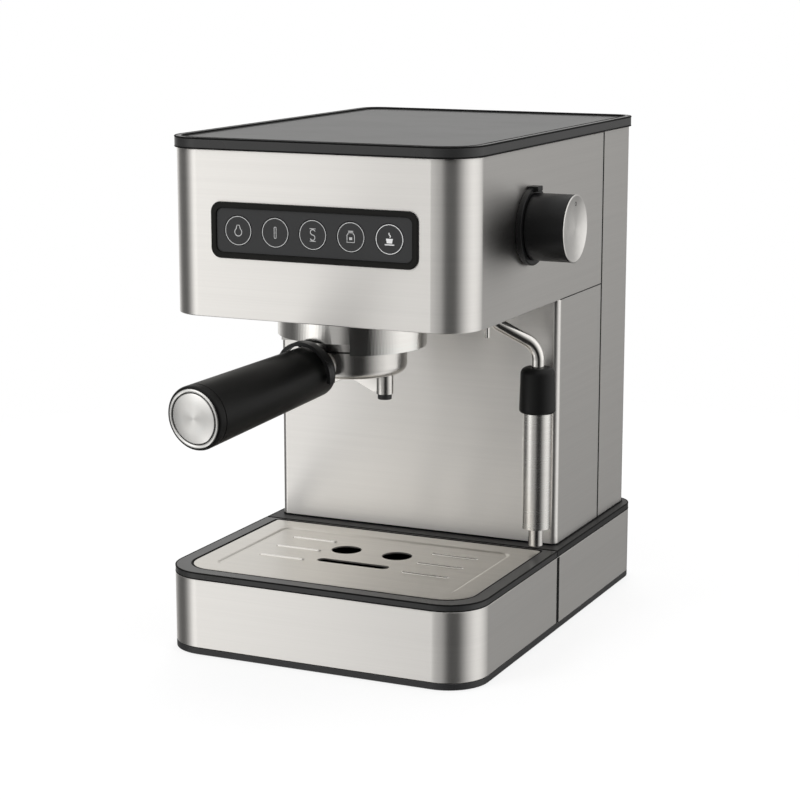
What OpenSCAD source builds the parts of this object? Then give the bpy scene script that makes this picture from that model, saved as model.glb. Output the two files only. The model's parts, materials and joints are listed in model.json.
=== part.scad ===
// Pump espresso machine with a drip tray, a steam wand and a bayonet portafilter.
// Origin: centre of the footprint on the counter. +Z up, the front faces -Y.

/* [Overall] */
// Height from the counter to the top of the lid
height = 305; // [280:1:340]
// Width of the head and of the column
body_w = 189.6; // [180:0.2:220]
// Ledge of the base beyond the column on each side
base_ledge = 5.5; // [3:0.5:10]
// Depth of the base
base_d = 280; // [270:1:310]
// Thickness of the steel skins
wall = 1.2; // [0.8:0.1:2]
// Half of the gap at a visible seam
seam = 0.3; // [0.2:0.05:0.5]

/* [Base] */
// Height of the base with its rim
base_h = 50; // [44:1:60]
// Height of the black rim around the base
rim_h = 4.2; // [3.5:0.1:6]
// Height of the black plinth
plinth_h = 3.8; // [3.6:0.1:5]
// Thickness of the rubber feet, which are set flush into the plinth
foot_h = 2; // [1:0.1:2.2]
// Diameter of a rubber foot
foot_d = 18; // [12:1:24]
// Distance of the feet and floor screws from the edges of the base
foot_inset = 30; // [26:1:40]
// Radius of the front corners of the base
base_r = 24.7; // [18:0.1:30]
// Radius of the rear corners of the base
base_rear_r = 16; // [10:1:20]
// Depth of the strip of base between the tray and the column
tray_margin = 11; // [8:0.5:16]
// Wall of the moulded drip tray pan
pan_wall = 2.4; // [2:0.1:3.5]

/* [Drip grille] */
// Width of the rim beside the grille
rim_side = 9.3; // [6:0.1:14]
// Depth of the drip grille
grille_d = 121; // [110:1:125]
// Radius of the front corners of the grille
grille_r = 18; // [12:1:24]
// Thickness of the grille sheet
grille_t = 1.2; // [1:0.1:2]
// Height of the folded edge of the grille
grille_h = 2.6; // [2.2:0.1:3.2]
// Diameter of the two finger holes
finger_d = 18.3; // [14:0.1:22]
// Spacing of the two finger holes
finger_pitch = 34; // [28:1:44]
// Length of the drain slot
slot_len = 47; // [30:1:60]
// Width of the drain slot
slot_w = 7.5; // [5:0.5:10]
// Height of the embossed ribs
rib_h = 0.8; // [0.4:0.1:1.2]

/* [Column and head] */
// Setback of the column front from the base front
column_setback = 145.3; // [140:0.1:155]
// Radius of the column's front corners
column_r = 4; // [3:0.5:12]
// Setback of the head front from the base front
head_setback = 4; // [0:0.5:8]
// Height of the head shell
head_h = 95.8; // [90:0.2:102]
// Radius of the head's front corners
head_r = 22; // [16:0.5:28]
// Setback of the back of the body from the back of the base
back_setback = 1.4; // [0.4:0.2:4]
// Depth of the rear shell behind the side seam
rear_depth = 57.6; // [54:0.2:62]
// Radius of the rear corners of the body
rear_r = 12; // [8:0.5:14]
// Thickness of the head floor
floor_t = 3; // [2.5:0.1:4]

/* [Lid] */
// Height of the lid
lid_h = 6.4; // [6:0.1:9]
// Overhang of the lid beyond the head
lid_over = 1.3; // [0.5:0.1:3]
// Width of the lid's upstanding rim
lid_rim = 4.6; // [3:0.1:8]
// Depth of the cup plate below the top of the rim
lid_drop = 1.2; // [0.5:0.1:2]
// Thickness of the cup plate
cup_plate_t = 1.6; // [1:0.1:2.5]

/* [Control panel] */
// Width of the panel bezel
bezel_w = 129; // [124:1:140]
// Height of the panel bezel
bezel_h = 32.2; // [30:0.2:38]
// Radius of the bezel's corners
bezel_r = 6; // [4:0.5:8]
// Sideways offset of the panel's centre
panel_x = 1.2; // [-4:0.1:4]
// Height of the panel's centre above the bottom of the head
panel_up = 50.7; // [44:0.1:56]
// Lip of the bezel over the steel and beside the plate
bezel_lip = 3.3; // [2.5:0.1:4]
// Diameter of a button
button_d = 16.8; // [14:0.1:18]
// Spacing of the buttons
button_pitch = 23.6; // [20:0.1:24.6]
// Travel of a button
button_travel = 0.6; // [0.4:0.1:1]
// Thickness of the panel plate
panel_t = 2; // [1.6:0.1:3]

/* [Steam knob] */
// Setback of the knob's axis from the head front
knob_setback = 91.2; // [80:0.2:100]
// Height of the knob's axis above the bottom of the head
knob_up = 50.2; // [44:0.2:56]
// Diameter of the knob
knob_d = 39.6; // [34:0.2:44]
// Reach of the knob beyond the side of the head
knob_reach = 27.6; // [22:0.2:34]
// Diameter of the knob's backing ring
ring_d = 45; // [45:0.5:52]
// Thickness of the backing ring
ring_t = 3.5; // [3:0.1:5]
// Diameter of the valve spindle
spindle_d = 6; // [5:0.1:8]

/* [Group and portafilter] */
// Setback of the group's axis from the head front
group_setback = 52; // [49:0.5:56]
// Radius of the group collar
collar_r = 43.5; // [43:0.1:46]
// Height of the group collar below the head
collar_h = 18.8; // [18.6:0.1:22]
// Radius of the portafilter bowl
bowl_r = 32; // [31:0.1:33]
// Depth of the bowl's floor below the collar's rim
bowl_drop = 16.4; // [12:0.1:18]
// Wall of the bowl
bowl_wall = 2.4; // [2:0.1:3]
// Direction of the handle at rest, to the left of straight ahead
handle_az = 8; // [0:1:14]
// Downward slope of the handle
handle_pitch = 4.4; // [2:0.1:6]
// Distance of the handle's end from the group's axis
handle_len = 151; // [130:1:165]
// Radius of the grip at its end
grip_end_r = 17.9; // [16:0.1:19]
// Radius of the grip at its root
grip_root_r = 14.9; // [13:0.1:15]
// Swing of the portafilter from locked to free
unlock_angle = 45; // [30:1:48]
// Half of the distance between the two spout outlets
spout_half = 22.5; // [18:0.5:26]
// Diameter of a spout outlet
spout_d = 10; // [9:0.5:12]
// Height of the spout below the bowl
spout_h = 14.4; // [13:0.1:20]
// Height of a spout tip
tip_h = 3.2; // [2.5:0.1:4]

/* [Steam wand] */
// Distance of the wand's pivot from the side of the head
pivot_side = 28.8; // [24.8:0.5:32.8]
// Setback of the wand's pivot from the head front
pivot_setback = 106; // [100:0.5:108]
// Reach of the wand from its pivot
wand_reach = 28.2; // [26:0.2:31]
// Direction of the wand at rest, from sideways towards the back
wand_az = 35.3; // [28:0.1:38]
// Diameter of the wand tube
wand_d = 7.6; // [6:0.1:8]
// Diameter of the froth sleeve
sleeve_d = 17.1; // [15:0.1:18]
// Diameter of the wand grip
wand_grip_d = 22; // [20:0.2:23]
// Length of the wand grip
wand_grip_len = 27.8; // [24:0.1:36]
// Diameter of the steam tip
steam_tip_d = 9; // [8:0.1:11]
// Length of the steam tip below the sleeve
steam_tip_len = 11.2; // [6:0.1:14]
// Clearance between the steam tip and the top of the base
steam_tip_clear = 4.5; // [3:0.5:12]
// Travel of the froth sleeve
sleeve_travel = 10; // [5:0.5:10]

/* [Water] */
// Distance of the tank bay from the side of the body
bay_side = 13.8; // [12.8:0.2:24]
// Wall of the tank bay
bay_wall = 2; // [1.6:0.1:3]
// Clearance around the water tank
tank_gap = 0.6; // [0.4:0.1:1]
// Wall of the water tank
tank_wall = 2.2; // [1.8:0.1:3]
// Space above the tank's lid
tank_head = 8; // [5:0.5:14]
// Thickness of the tank lid
tank_lid_t = 3; // [2.5:0.1:4]
// Diameter of the tank's outlet valve
valve_d = 14; // [12:0.5:18]
// Diameter of a hose
hose_d = 7; // [6:0.5:9]
// Radius of the boiler
boiler_r = 40; // [36:0.5:41]
// Clearance between the boiler's top and the control panel above it
boiler_clear = 3; // [2:0.5:8]

/* [Hidden] */
$fn = 96;

// Clearance between a moving piece and its neighbour
run = 0.3;
// Radial clearance of a shaft in its bore
fit = 0.05;
// Overlap that keeps a cut clean
cut = 1;

// Heights
top_z = height - lid_h;
head_z = top_z - head_h;
rim_z = base_h - rim_h;
knob_z = head_z + knob_up;
panel_z = head_z + panel_up;
collar_z = head_z - collar_h;

// Places along the depth
front_y = -base_d / 2;
back_y = base_d / 2;
head_front = front_y + head_setback;
column_y = front_y + column_setback;
tray_back = column_y - tray_margin;
body_back = back_y - back_setback;
seam_y = body_back - rear_depth;
group_y = head_front + group_setback;
knob_y = head_front + knob_setback;
pivot_y = head_front + pivot_setback;

// Widths
base_w = body_w + 2 * base_ledge;
side_x = body_w / 2;
grille_w = base_w - 2 * rim_side;
bay_w = body_w - 2 * bay_side;
pivot_x = side_x - pivot_side;

// Outline with rounded front corners and, if rr is over 0, rounded rear corners
module plan(w, y0, y1, rf, rr) {
    translate([-w / 2, y0 + rf])
        square([w, y1 - rr - y0 - rf]);
    if (rf > 0) {
        translate([rf - w / 2, y0])
            square([w - 2 * rf, 2 * rf]);
        for (s = [-1, 1])
            translate([s * (w / 2 - rf), y0 + rf])
                circle(rf);
    }
    if (rr > 0) {
        translate([rr - w / 2, y1 - 2 * rr])
            square([w - 2 * rr, 2 * rr]);
        for (s = [-1, 1])
            translate([s * (w / 2 - rr), y1 - rr])
                circle(rr);
    }
}

// Rounded bar outline, centred, for slots, ribs and the panel
module pill(w, h, r) {
    square([w - 2 * r, h], center = true);
    square([w, h - 2 * r], center = true);
    for (x = [-1, 1], y = [-1, 1])
        translate([x * (w / 2 - r), y * (h / 2 - r)])
            circle(r);
}

// Flat piece from z0 to z1
module slab(z0, z1) {
    translate([0, 0, z0])
        linear_extrude(z1 - z0)
            children();
}

// Ring or tube about Z
module tube(r_out, r_in, z0, z1) {
    translate([0, 0, z0])
        difference() {
            cylinder(h = z1 - z0, r = r_out);
            translate([0, 0, -cut])
                cylinder(h = z1 - z0 + 2 * cut, r = r_in);
        }
}

// Round bar along X from x0 to x1
module bar_x(r, x0, x1) {
    translate([x0, 0, 0])
        rotate([0, 90, 0])
            cylinder(h = x1 - x0, r = r);
}

// Round bar along Y from y0 to y1
module bar_y(r, y0, y1) {
    translate([0, y1, 0])
        rotate([90, 0, 0])
            cylinder(h = y1 - y0, r = r);
}

// Cross section of a pipe
module pipe_2d(r, full = 0) {
    difference() {
        circle(r + full);
        circle(r * 0.6 - full);
    }
}

// Straight pipe about Z
module pipe(r, h) {
    linear_extrude(h)
        pipe_2d(r);
}

// Bend of a pipe in the XZ plane, centred on the origin, between two angles from +X.
// A bend with a fuller wall takes the ends of the straight runs inside it.
module bend(r, r_bend, a0, a1, full = 0) {
    rotate([90, 0, 0])
        rotate([0, 0, a0])
            rotate_extrude(angle = a1 - a0)
                translate([r_bend, 0])
                    pipe_2d(r, full);
}

// ---- Base ----

plinth_pad = 3;
screw_head_d = 7.4;
screw_head_h = 2.2;
floor_bite = 10;
screw_d = 4;
post_d = 12;
base_wrap_w = base_w - 2 * wall;
post_front = tray_back + seam + bay_wall + post_d / 2;

// The four places of the deck's posts and of the floor screws
module at_posts() {
    for (s = [-1, 1], y = [post_front, back_y - foot_inset])
        translate([s * (base_w / 2 - foot_inset), y, 0])
            children();
}

module at_feet() {
    for (x = [-1, 1], y = [-1, 1])
        translate([x * (base_w / 2 - foot_inset - foot_d), y * (base_d / 2 - foot_inset), 0])
            children();
}

module base_plinth() {
    color("#1c1c1d")
        difference() {
            union() {
                slab(0, plinth_h)
                    plan(base_w, front_y, back_y, base_r, base_rear_r);
                slab(plinth_h, plinth_h + plinth_pad)
                    plan(base_wrap_w, tray_back + seam + bay_wall, back_y - wall, 0, base_rear_r - wall);
            }
            at_posts() {
                cylinder(h = height, d = screw_d + 2 * run);
                cylinder(h = plinth_h, d = screw_head_d + 2 * run);
            }
            at_feet()
                cylinder(h = foot_h, d = foot_d + 2 * fit);
        }
}

module rubber_feet() {
    color("#101010")
        at_feet()
            cylinder(h = foot_h, d = foot_d);
}

module floor_screws() {
    color("#8a8c8e")
        at_posts() {
            translate([0, 0, plinth_h - screw_head_h])
                cylinder(h = screw_head_h, d = screw_head_d);
            translate([0, 0, plinth_h - screw_head_h])
                cylinder(h = plinth_pad + floor_bite, d = screw_d);
        }
}

gland_d = 16;
gland_z = (plinth_h + rim_z) / 2;
gland_x = base_w / 2 - 32;

module rear_base_wrap() {
    color("#c9c5be")
        difference() {
            slab(plinth_h, rim_z)
                difference() {
                    plan(base_w, tray_back + seam, back_y, 0, base_rear_r);
                    translate([0, -cut])
                        plan(base_wrap_w, tray_back + seam, back_y - wall + cut, 0, base_rear_r - wall);
                }
            translate([gland_x, 0, gland_z])
                bar_y(gland_d / 2 - 2, 0, height);
        }
}

// Black deck with the rim, the wall behind the tray, the posts and the cord gland's seat
module base_deck() {
    color("#232425")
        difference() {
            union() {
                slab(rim_z, base_h)
                    plan(base_w, tray_back + seam, back_y, 0, base_rear_r);
                slab(plinth_h, rim_z)
                    translate([-base_wrap_w / 2, tray_back + seam])
                        square([base_wrap_w, bay_wall]);
                at_posts()
                    translate([0, 0, plinth_h + plinth_pad])
                        cylinder(h = rim_z - plinth_h - plinth_pad + cut, d = post_d);
            }
            at_posts()
                cylinder(h = plinth_h + plinth_pad + 12, d = screw_d + 2 * fit);
            slab(plinth_h, height)
                translate([-duct_w / 2, duct_y0])
                    square([duct_w, duct_y1 - duct_y0]);
        }
}

// Opening for hoses and wires through the deck and the head floor
duct_w = body_w - 44;
duct_y0 = column_y + 12;
duct_y1 = seam_y - 6;

// ---- Drip tray ----

tray_w = base_w - 2 * wall;
tray_z = plinth_h + run;
grille_back = tray_back - seam - 3;
grille_front = grille_back - grille_d;
ledge = 4;

module tray_wrap() {
    color("#d2cec7")
        slab(tray_z, rim_z)
            difference() {
                plan(base_w, front_y, tray_back - seam, base_r, 0);
                plan(tray_w, front_y + wall, tray_back, base_r - wall, 0);
            }
}

module tray_pan() {
    color("#26272a")
        difference() {
            slab(tray_z, rim_z)
                plan(tray_w, front_y + wall, tray_back - seam, base_r - wall, 0);
            slab(tray_z + pan_wall, height)
                plan(tray_w - 2 * pan_wall, front_y + wall + pan_wall, tray_back - seam - pan_wall,
                    base_r - wall - pan_wall, 0);
        }
}

module tray_rim() {
    color("#232425")
        difference() {
            slab(rim_z, base_h)
                plan(base_w, front_y, tray_back - seam, base_r, 0);
            slab(base_h - grille_h, height)
                plan(grille_w + 4 * run, grille_front - 2 * run, grille_back + 2 * run, grille_r + 2 * run, 2);
            slab(0, height)
                plan(grille_w - 2 * ledge, grille_front + ledge, grille_back - ledge, grille_r - ledge, 2);
        }
}

rib_w = 2.6;
holes_y = (grille_front + grille_back) / 2 + 15;

module drip_grille() {
    color("#b9b6b0")
        difference() {
            union() {
                difference() {
                    slab(base_h - grille_h, base_h)
                        plan(grille_w, grille_front, grille_back, grille_r, 2);
                    slab(0, base_h - grille_t)
                        plan(grille_w - 2 * grille_t, grille_front + grille_t, grille_back - grille_t,
                            grille_r - grille_t, 1);
                }
                for (s = [-1, 1], i = [-1, 0, 1])
                    translate([s * grille_w * 0.26, holes_y - 9 + i * 22, 0])
                        slab(base_h - cut / 2, base_h + rib_h)
                            pill(grille_w * 0.17, rib_w, rib_w / 2 - 0.01);
            }
            for (s = [-1, 1])
                translate([s * finger_pitch / 2 - 2, holes_y, 0])
                    cylinder(h = height, d = finger_d);
            translate([-2, holes_y - 26, 0])
                slab(0, height)
                    pill(slot_len, slot_w, slot_w / 2 - 0.01);
        }
}

// ---- Column, head and rear shell ----

module column_wrap() {
    color("#cfcbc4")
        slab(base_h, head_z)
            difference() {
                plan(body_w, column_y, seam_y - seam, column_r, 0);
                plan(body_w - 2 * wall, column_y + wall, seam_y + cut, column_r - wall, 0);
            }
}

bezel_hole_w = bezel_w - 2;
bezel_hole_h = bezel_h - 2;
neck_r = 5.8;

module head_shell() {
    color("#d6d2cb")
        difference() {
            slab(head_z, top_z)
                difference() {
                    plan(body_w, head_front, seam_y - seam, head_r, 0);
                    plan(body_w - 2 * wall, head_front + wall, seam_y + cut, head_r - wall, 0);
                }
            translate([panel_x, head_front + wall + cut, panel_z])
                rotate([90, 0, 0])
                    linear_extrude(2 * cut + wall)
                        pill(bezel_hole_w, bezel_hole_h, bezel_r - 1);
            translate([0, knob_y, knob_z])
                bar_x(neck_r + fit, 0, body_w);
        }
}

group_hole_r = collar_r - 6.6;
nozzle_x = pivot_x + 7.7;
nozzle_y = pivot_y - 26.6;
nozzle_d = 3;
nut_r = 8;

module head_floor() {
    color("#2a2b2c")
        difference() {
            slab(head_z, head_z + floor_t)
                plan(body_w - 2 * wall, head_front + wall, seam_y - seam, head_r - wall, 0);
            translate([0, group_y, 0])
                cylinder(h = height, r = group_hole_r);
            translate([pivot_x, pivot_y, 0])
                cylinder(h = height, r = nut_r - 2 + fit);
            translate([nozzle_x, nozzle_y, 0])
                cylinder(h = height, d = nozzle_d + 2 * fit);
            slab(0, height)
                translate([-duct_w / 2, duct_y0])
                    square([duct_w, duct_y1 - duct_y0]);
        }
}

module rear_shell() {
    color("#bdb9b2")
        difference() {
            slab(base_h, top_z)
                difference() {
                    plan(body_w, seam_y + seam, body_back, 0, rear_r);
                    plan(body_w - 2 * wall, seam_y, body_back - wall, 0, rear_r - wall);
                }
            slab(0, height)
                translate([-bay_w / 2, seam_y])
                    square([bay_w, rear_depth + cut]);
        }
}

bay_front = seam_y + seam + bay_wall + 1;
bay_roof = 4;
bay_floor = base_h + 3;
bay_top = top_z - bay_roof;
seat_x = -35;
seat_z = bay_floor + 14;
seat_r = valve_d / 2 + 4;

// Bulkhead behind the column with the liner that the water tank slides into
module tank_bay() {
    color("#1f2022")
        difference() {
            union() {
                slab(base_h, top_z)
                    translate([wall - side_x, seam_y + seam])
                        square([body_w - 2 * wall, bay_front - seam_y - seam]);
                slab(base_h, top_z)
                    translate([-bay_w / 2 - bay_wall, seam_y + seam])
                        square([bay_w + 2 * bay_wall, body_back - wall - seam_y - seam]);
            }
            slab(bay_floor, bay_top)
                translate([-bay_w / 2, bay_front])
                    square([bay_w, rear_depth]);
            translate([seat_x, 0, seat_z])
                bar_y(seat_r - 2 + fit, 0, bay_front + cut);
        }
}

lid_w = body_w + 2 * lid_over;

module lid_frame() {
    color("#28292a")
        difference() {
            slab(top_z, height)
                plan(lid_w, head_front - lid_over, body_back + lid_over, head_r + lid_over, rear_r + lid_over);
            slab(height - lid_drop - cup_plate_t, height + cut)
                plan(lid_w - 2 * lid_rim, head_front - lid_over + lid_rim, body_back + lid_over - lid_rim,
                    head_r + lid_over - lid_rim, rear_r + lid_over - lid_rim);
        }
}

module cup_plate() {
    color("#7e7f80")
        slab(height - lid_drop - cup_plate_t, height - lid_drop)
            plan(lid_w - 2 * lid_rim - 2 * run, head_front - lid_over + lid_rim + run,
                body_back + lid_over - lid_rim - run, head_r + lid_over - lid_rim - run,
                rear_r + lid_over - lid_rim - run);
}

// ---- Control panel ----

bezel_out = 1.2;
plate_in = 0.8;
bezel_deep = 8;
plate_w = bezel_w - 2 * bezel_lip;
plate_h = bezel_h - 2 * bezel_lip;
plate_r = bezel_r - bezel_lip / 2;
plate_y = head_front - bezel_out + plate_in;
board_y = head_front + bezel_deep;
board_t = 1.6;
flange_t = 1;

// Flat piece of the panel, from depth y0 to y1
module panel_slab(y0, y1) {
    translate([panel_x, y1, panel_z])
        rotate([90, 0, 0])
            linear_extrude(y1 - y0)
                children();
}

// The five places of the buttons
function button_x(i) = (i - 3) * button_pitch;

module panel_bezel() {
    color("#161718")
        difference() {
            union() {
                panel_slab(head_front - bezel_out, head_front)
                    pill(bezel_w, bezel_h, bezel_r);
                panel_slab(head_front - bezel_out, board_y)
                    pill(bezel_hole_w - 2 * fit, bezel_hole_h - 2 * fit, bezel_r - 1);
            }
            panel_slab(head_front - height, plate_y + panel_t)
                pill(plate_w + 2 * fit, plate_h + 2 * fit, plate_r);
            panel_slab(head_front, board_y + cut)
                pill(plate_w - 4, plate_h - 3, plate_r);
        }
}

module panel_plate() {
    color("#3a3b3d")
        difference() {
            panel_slab(plate_y, plate_y + panel_t)
                pill(plate_w, plate_h, plate_r);
            for (i = [1:5])
                panel_slab(plate_y - cut, plate_y + panel_t + cut)
                    translate([button_x(i), 0])
                        circle(d = button_d + 2 * run);
        }
}

switch_h = 3;
stem_end = board_y - switch_h - button_travel - run;

module button(i) {
    color("#3a3b3d")
        translate([button_x(i), 0, 0]) {
            panel_slab(plate_y, plate_y + panel_t)
                circle(d = button_d);
            panel_slab(plate_y + panel_t, plate_y + panel_t + flange_t)
                circle(d = button_d + 1.8);
            panel_slab(plate_y + panel_t, stem_end)
                circle(d = 5);
        }
}

module button_1() { button(1); }
module button_2() { button(2); }
module button_3() { button(3); }
module button_4() { button(4); }
module button_5() { button(5); }

module control_board() {
    color("#1f5a3a")
        panel_slab(board_y, board_y + board_t)
            pill(bezel_hole_w - 2, bezel_hole_h - 2, 2);
    color("#303030")
        for (i = [1:5])
            panel_slab(board_y - switch_h, board_y + cut / 2)
                translate([button_x(i), 0])
                    square(6, center = true);
}

// ---- Steam knob and valve ----

ring_x = side_x + ring_t;
cap_x = side_x + knob_reach;
cap_t = 1.6;

// Places a child that is drawn about the X axis on the knob's axis
module on_knob() {
    translate([0, knob_y, knob_z])
        children();
}

module knob_ring() {
    color("#151516")
        on_knob()
            difference() {
                union() {
                    bar_x(ring_d / 2, side_x, ring_x);
                    translate([side_x, -4, ring_d / 2 - 2])
                        cube([ring_t + 3, 8, 3]);
                }
                bar_x(neck_r + fit, side_x - cut, ring_x + cut);
            }
}

module steam_knob() {
    color("#141415")
        on_knob()
            difference() {
                bar_x(knob_d / 2 - run, ring_x + run, cap_x);
                bar_x(spindle_d / 2 + fit, ring_x, cap_x - 5);
                bar_x(knob_d / 2 - 1.2, cap_x - cap_t, cap_x + cut);
            }
}

module knob_cap() {
    color("#c8c6c2")
        on_knob()
            bar_x(knob_d / 2 - 1.2 - fit, cap_x - cap_t, cap_x);
}

valve_x0 = pivot_x - 14;
valve_r = 12;
elbow = 13;

module valve_spindle() {
    color("#9a9b9c")
        on_knob()
            bar_x(spindle_d / 2, valve_x0 + 18, cap_x - 5);
}

module steam_valve() {
    color("#b08d57")
        difference() {
            union() {
                on_knob() {
                    bar_x(valve_r, valve_x0, side_x - wall);
                    bar_x(neck_r, side_x - wall - cut, ring_x - 0.5);
                }
                translate([pivot_x - elbow / 2, knob_y, knob_z - valve_r])
                    cube([elbow, pivot_y - knob_y + elbow / 2, valve_r]);
            }
            on_knob()
                bar_x(spindle_d / 2 + fit, valve_x0 + 17, cap_x);
        }
}

// ---- Group, boiler ----

flange_z = head_z + floor_t;
boiler_z = flange_z + 3.2;
boiler_top = panel_z - bezel_h / 2 - boiler_clear;
boiler_h = boiler_top - boiler_z;
lug_z = collar_z + 4.3;
lug_h = 3;
bowl_top = lug_z + lug_h + 1.1;
basket_t = 1.2;
gasket_z = bowl_top + basket_t + run;
gasket_h = 5.1;
shower_z = gasket_z + gasket_h;
ledge_in = bowl_r + 1.4;
bore_r = collar_r - 6.5;
notch_z = collar_z + 6.6;

// Sector of a ring about the group's axis: centre and half width in degrees, measured
// to the left of straight ahead
module sector(r_out, r_in, az, half, z0, z1) {
    translate([0, 0, z0])
        rotate([0, 0, -90 - az - half])
            rotate_extrude(angle = 2 * half)
                translate([r_in, 0])
                    square([r_out - r_in, z1 - z0]);
}

// Places a child that is drawn about the Z axis on the group's axis
module on_group() {
    translate([0, group_y, 0])
        children();
}

module group_collar() {
    color("#b4b2ae")
        on_group() {
            difference() {
                tube(collar_r, bore_r, collar_z, head_z);
                sector(collar_r + cut, bore_r - cut, handle_az + unlock_angle / 2 - 2.5,
                    unlock_angle / 2 + 29.5, collar_z - cut, notch_z);
            }
            for (s = [0, 180])
                sector(bore_r + cut, ledge_in, handle_az + 90 + s, 15, collar_z + 1, collar_z + 4);
        }
}

module group_head() {
    color("#a8a9aa")
        on_group()
            difference() {
                union() {
                    translate([0, 0, shower_z])
                        cylinder(h = boiler_z - shower_z, r = group_hole_r - fit);
                    translate([0, 0, flange_z])
                        cylinder(h = boiler_z - flange_z, r = boiler_r + 2);
                }
                translate([0, 0, shower_z - cut])
                    cylinder(h = brew_screw_len, d = brew_screw_d + 2 * fit);
                for (a = [45:90:315])
                    rotate([0, 0, a])
                        translate([bolt_ring, 0, 0])
                            cylinder(h = height, d = screw_d + 2 * fit);
            }
}

gasket_in = 27.5;
screen_r = 26;
bolt_ring = 28;
screen_t = 1;
brew_screw_d = 4;
brew_head_h = 1.2;
brew_screw_len = 7;

module brew_gasket() {
    color("#8b3a2a")
        on_group()
            tube(bore_r - 1.5, gasket_in, gasket_z, shower_z);
}

module shower_screen() {
    color("#c4c4c4")
        on_group()
            difference() {
                tube(screen_r, brew_screw_d / 2 + 0.2, shower_z - screen_t, shower_z);
                for (ring = [1:3], k = [0:6 * ring - 1])
                    rotate([0, 0, k * 60 / ring])
                        translate([2 + ring * 6, 0, 0])
                            cylinder(h = height, d = 1.6, $fn = 16);
            }
}

module shower_screw() {
    color("#90918f")
        on_group() {
            translate([0, 0, shower_z - screen_t - brew_head_h])
                cylinder(h = brew_head_h, d = 2 * brew_screw_d);
            translate([0, 0, shower_z - screen_t - brew_head_h])
                cylinder(h = brew_screw_len, d = brew_screw_d);
        }
}

inlet_x = seat_x;
inlet_z = boiler_top - 10;
outlet_x = 10;
feed_r = 8;
outlet_top = knob_z - feed_r;

module boiler() {
    color("#b9bbbd")
        difference() {
            union() {
                on_group() {
                    translate([0, 0, boiler_z])
                        cylinder(h = boiler_h, r = boiler_r);
                    translate([0, 0, boiler_z])
                        cylinder(h = 5, r = boiler_r + 2);
                    translate([0, 0, boiler_z + boiler_h - 9])
                        cylinder(h = 4, r = boiler_r + 2);
                }
                translate([inlet_x, 0, inlet_z])
                    bar_y(6, group_y, group_y + boiler_r);
                translate([outlet_x, knob_y, boiler_z])
                    cylinder(h = outlet_top - boiler_z, d = 12);
            }
            on_group()
                for (a = [45:90:315])
                    rotate([0, 0, a])
                        translate([bolt_ring, 0, boiler_z - cut])
                            cylinder(h = 13, d = screw_d + 2 * fit);
        }
}

module boiler_screws() {
    color("#8a8c8e")
        on_group()
            for (a = [45:90:315])
                rotate([0, 0, a])
                    translate([bolt_ring, 0, shower_z + 3])
                        cylinder(h = boiler_z - shower_z + 6, d = screw_d);
}

cutout_d = 16;
cutout_h = 3;
cutout_top = 8;

module thermostats() {
    color("#3b3b3e")
        on_group()
            for (a = [150, 270, 30])
                rotate([0, 0, a])
                    translate([boiler_r / 2, 0, boiler_top]) {
                        cylinder(h = cutout_h, d = cutout_d);
                        cylinder(h = cutout_top, d = cutout_d - 6);
                    }
}

// Pipe from the boiler's outlet up and across to the steam valve, and the one from the
// valve down to the wand's nut
module steam_pipes() {
    color("#c9a26a") {
        translate([outlet_x + feed_r, knob_y, outlet_top])
            bend(hose_d / 2, feed_r, 90, 180);
        translate([outlet_x + feed_r, knob_y, knob_z])
            rotate([0, 90, 0])
                pipe(hose_d / 2, valve_x0 - outlet_x - feed_r);
        translate([pivot_x, pivot_y, flange_z + nut_flange])
            pipe(hose_d / 2, knob_z - valve_r - flange_z - nut_flange);
    }
}

// ---- Portafilter ----

bowl_z = collar_z - bowl_drop;
bowl_edge = 5;
spout_top = bowl_z;
spout_z = bowl_z - spout_h + tip_h;
handle_z = (bowl_z + bowl_top) / 2 - 2.9;

// Places a child that is drawn along +X on the handle's axis, from the group's axis
module on_handle_from_group() {
    translate([0, 0, handle_z])
        rotate([0, 0, -90 - handle_az])
            rotate([0, handle_pitch, 0])
                children();
}

// The same, from the machine's origin
module on_handle() {
    on_group()
        on_handle_from_group()
            children();
}

module portafilter_bowl() {
    color("#bab8b4")
        on_group()
            difference() {
                union() {
                    translate([0, 0, bowl_z])
                        rotate_extrude() {
                            square([bowl_r - bowl_edge, bowl_edge]);
                            translate([0, bowl_edge])
                                square([bowl_r, bowl_top - bowl_z - bowl_edge]);
                            translate([bowl_r - bowl_edge, bowl_edge])
                                circle(bowl_edge);
                        }
                    for (s = [0, 180])
                        sector(bore_r - 2 * run, bowl_r - bowl_wall / 2, handle_az + 90 + s, 13,
                            lug_z, lug_z + lug_h);
                }
                translate([0, 0, bowl_z + bowl_wall])
                    cylinder(h = height, r = bowl_r - bowl_wall);
                translate([0, 0, bowl_z - cut])
                    cylinder(h = height, r = 4);
                on_handle_from_group()
                    bar_x(stud_d / 2 + fit, bowl_r - bowl_wall - cut, handle_len);
            }
}

basket_r = bowl_r - bowl_wall - 0.4;
basket_z = bowl_z + bowl_wall + 2.5;
basket_wall = 0.7;

module filter_basket() {
    color("#c9c9c8")
        on_group()
            difference() {
                union() {
                    translate([0, 0, basket_z])
                        cylinder(h = bowl_top + basket_t - basket_z, r = basket_r);
                    translate([0, 0, bowl_top])
                        cylinder(h = basket_t, r = bowl_r);
                }
                translate([0, 0, basket_z + basket_wall])
                    cylinder(h = height, r = basket_r - basket_wall);
                for (ring = [0:3], k = [0:max(6 * ring, 1) - 1])
                    rotate([0, 0, k * 60 / max(ring, 1)])
                        translate([ring * 6, 0, basket_z - cut])
                            cylinder(h = 5, d = 1.4, $fn = 16);
            }
}

spout_bore = 6;

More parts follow.
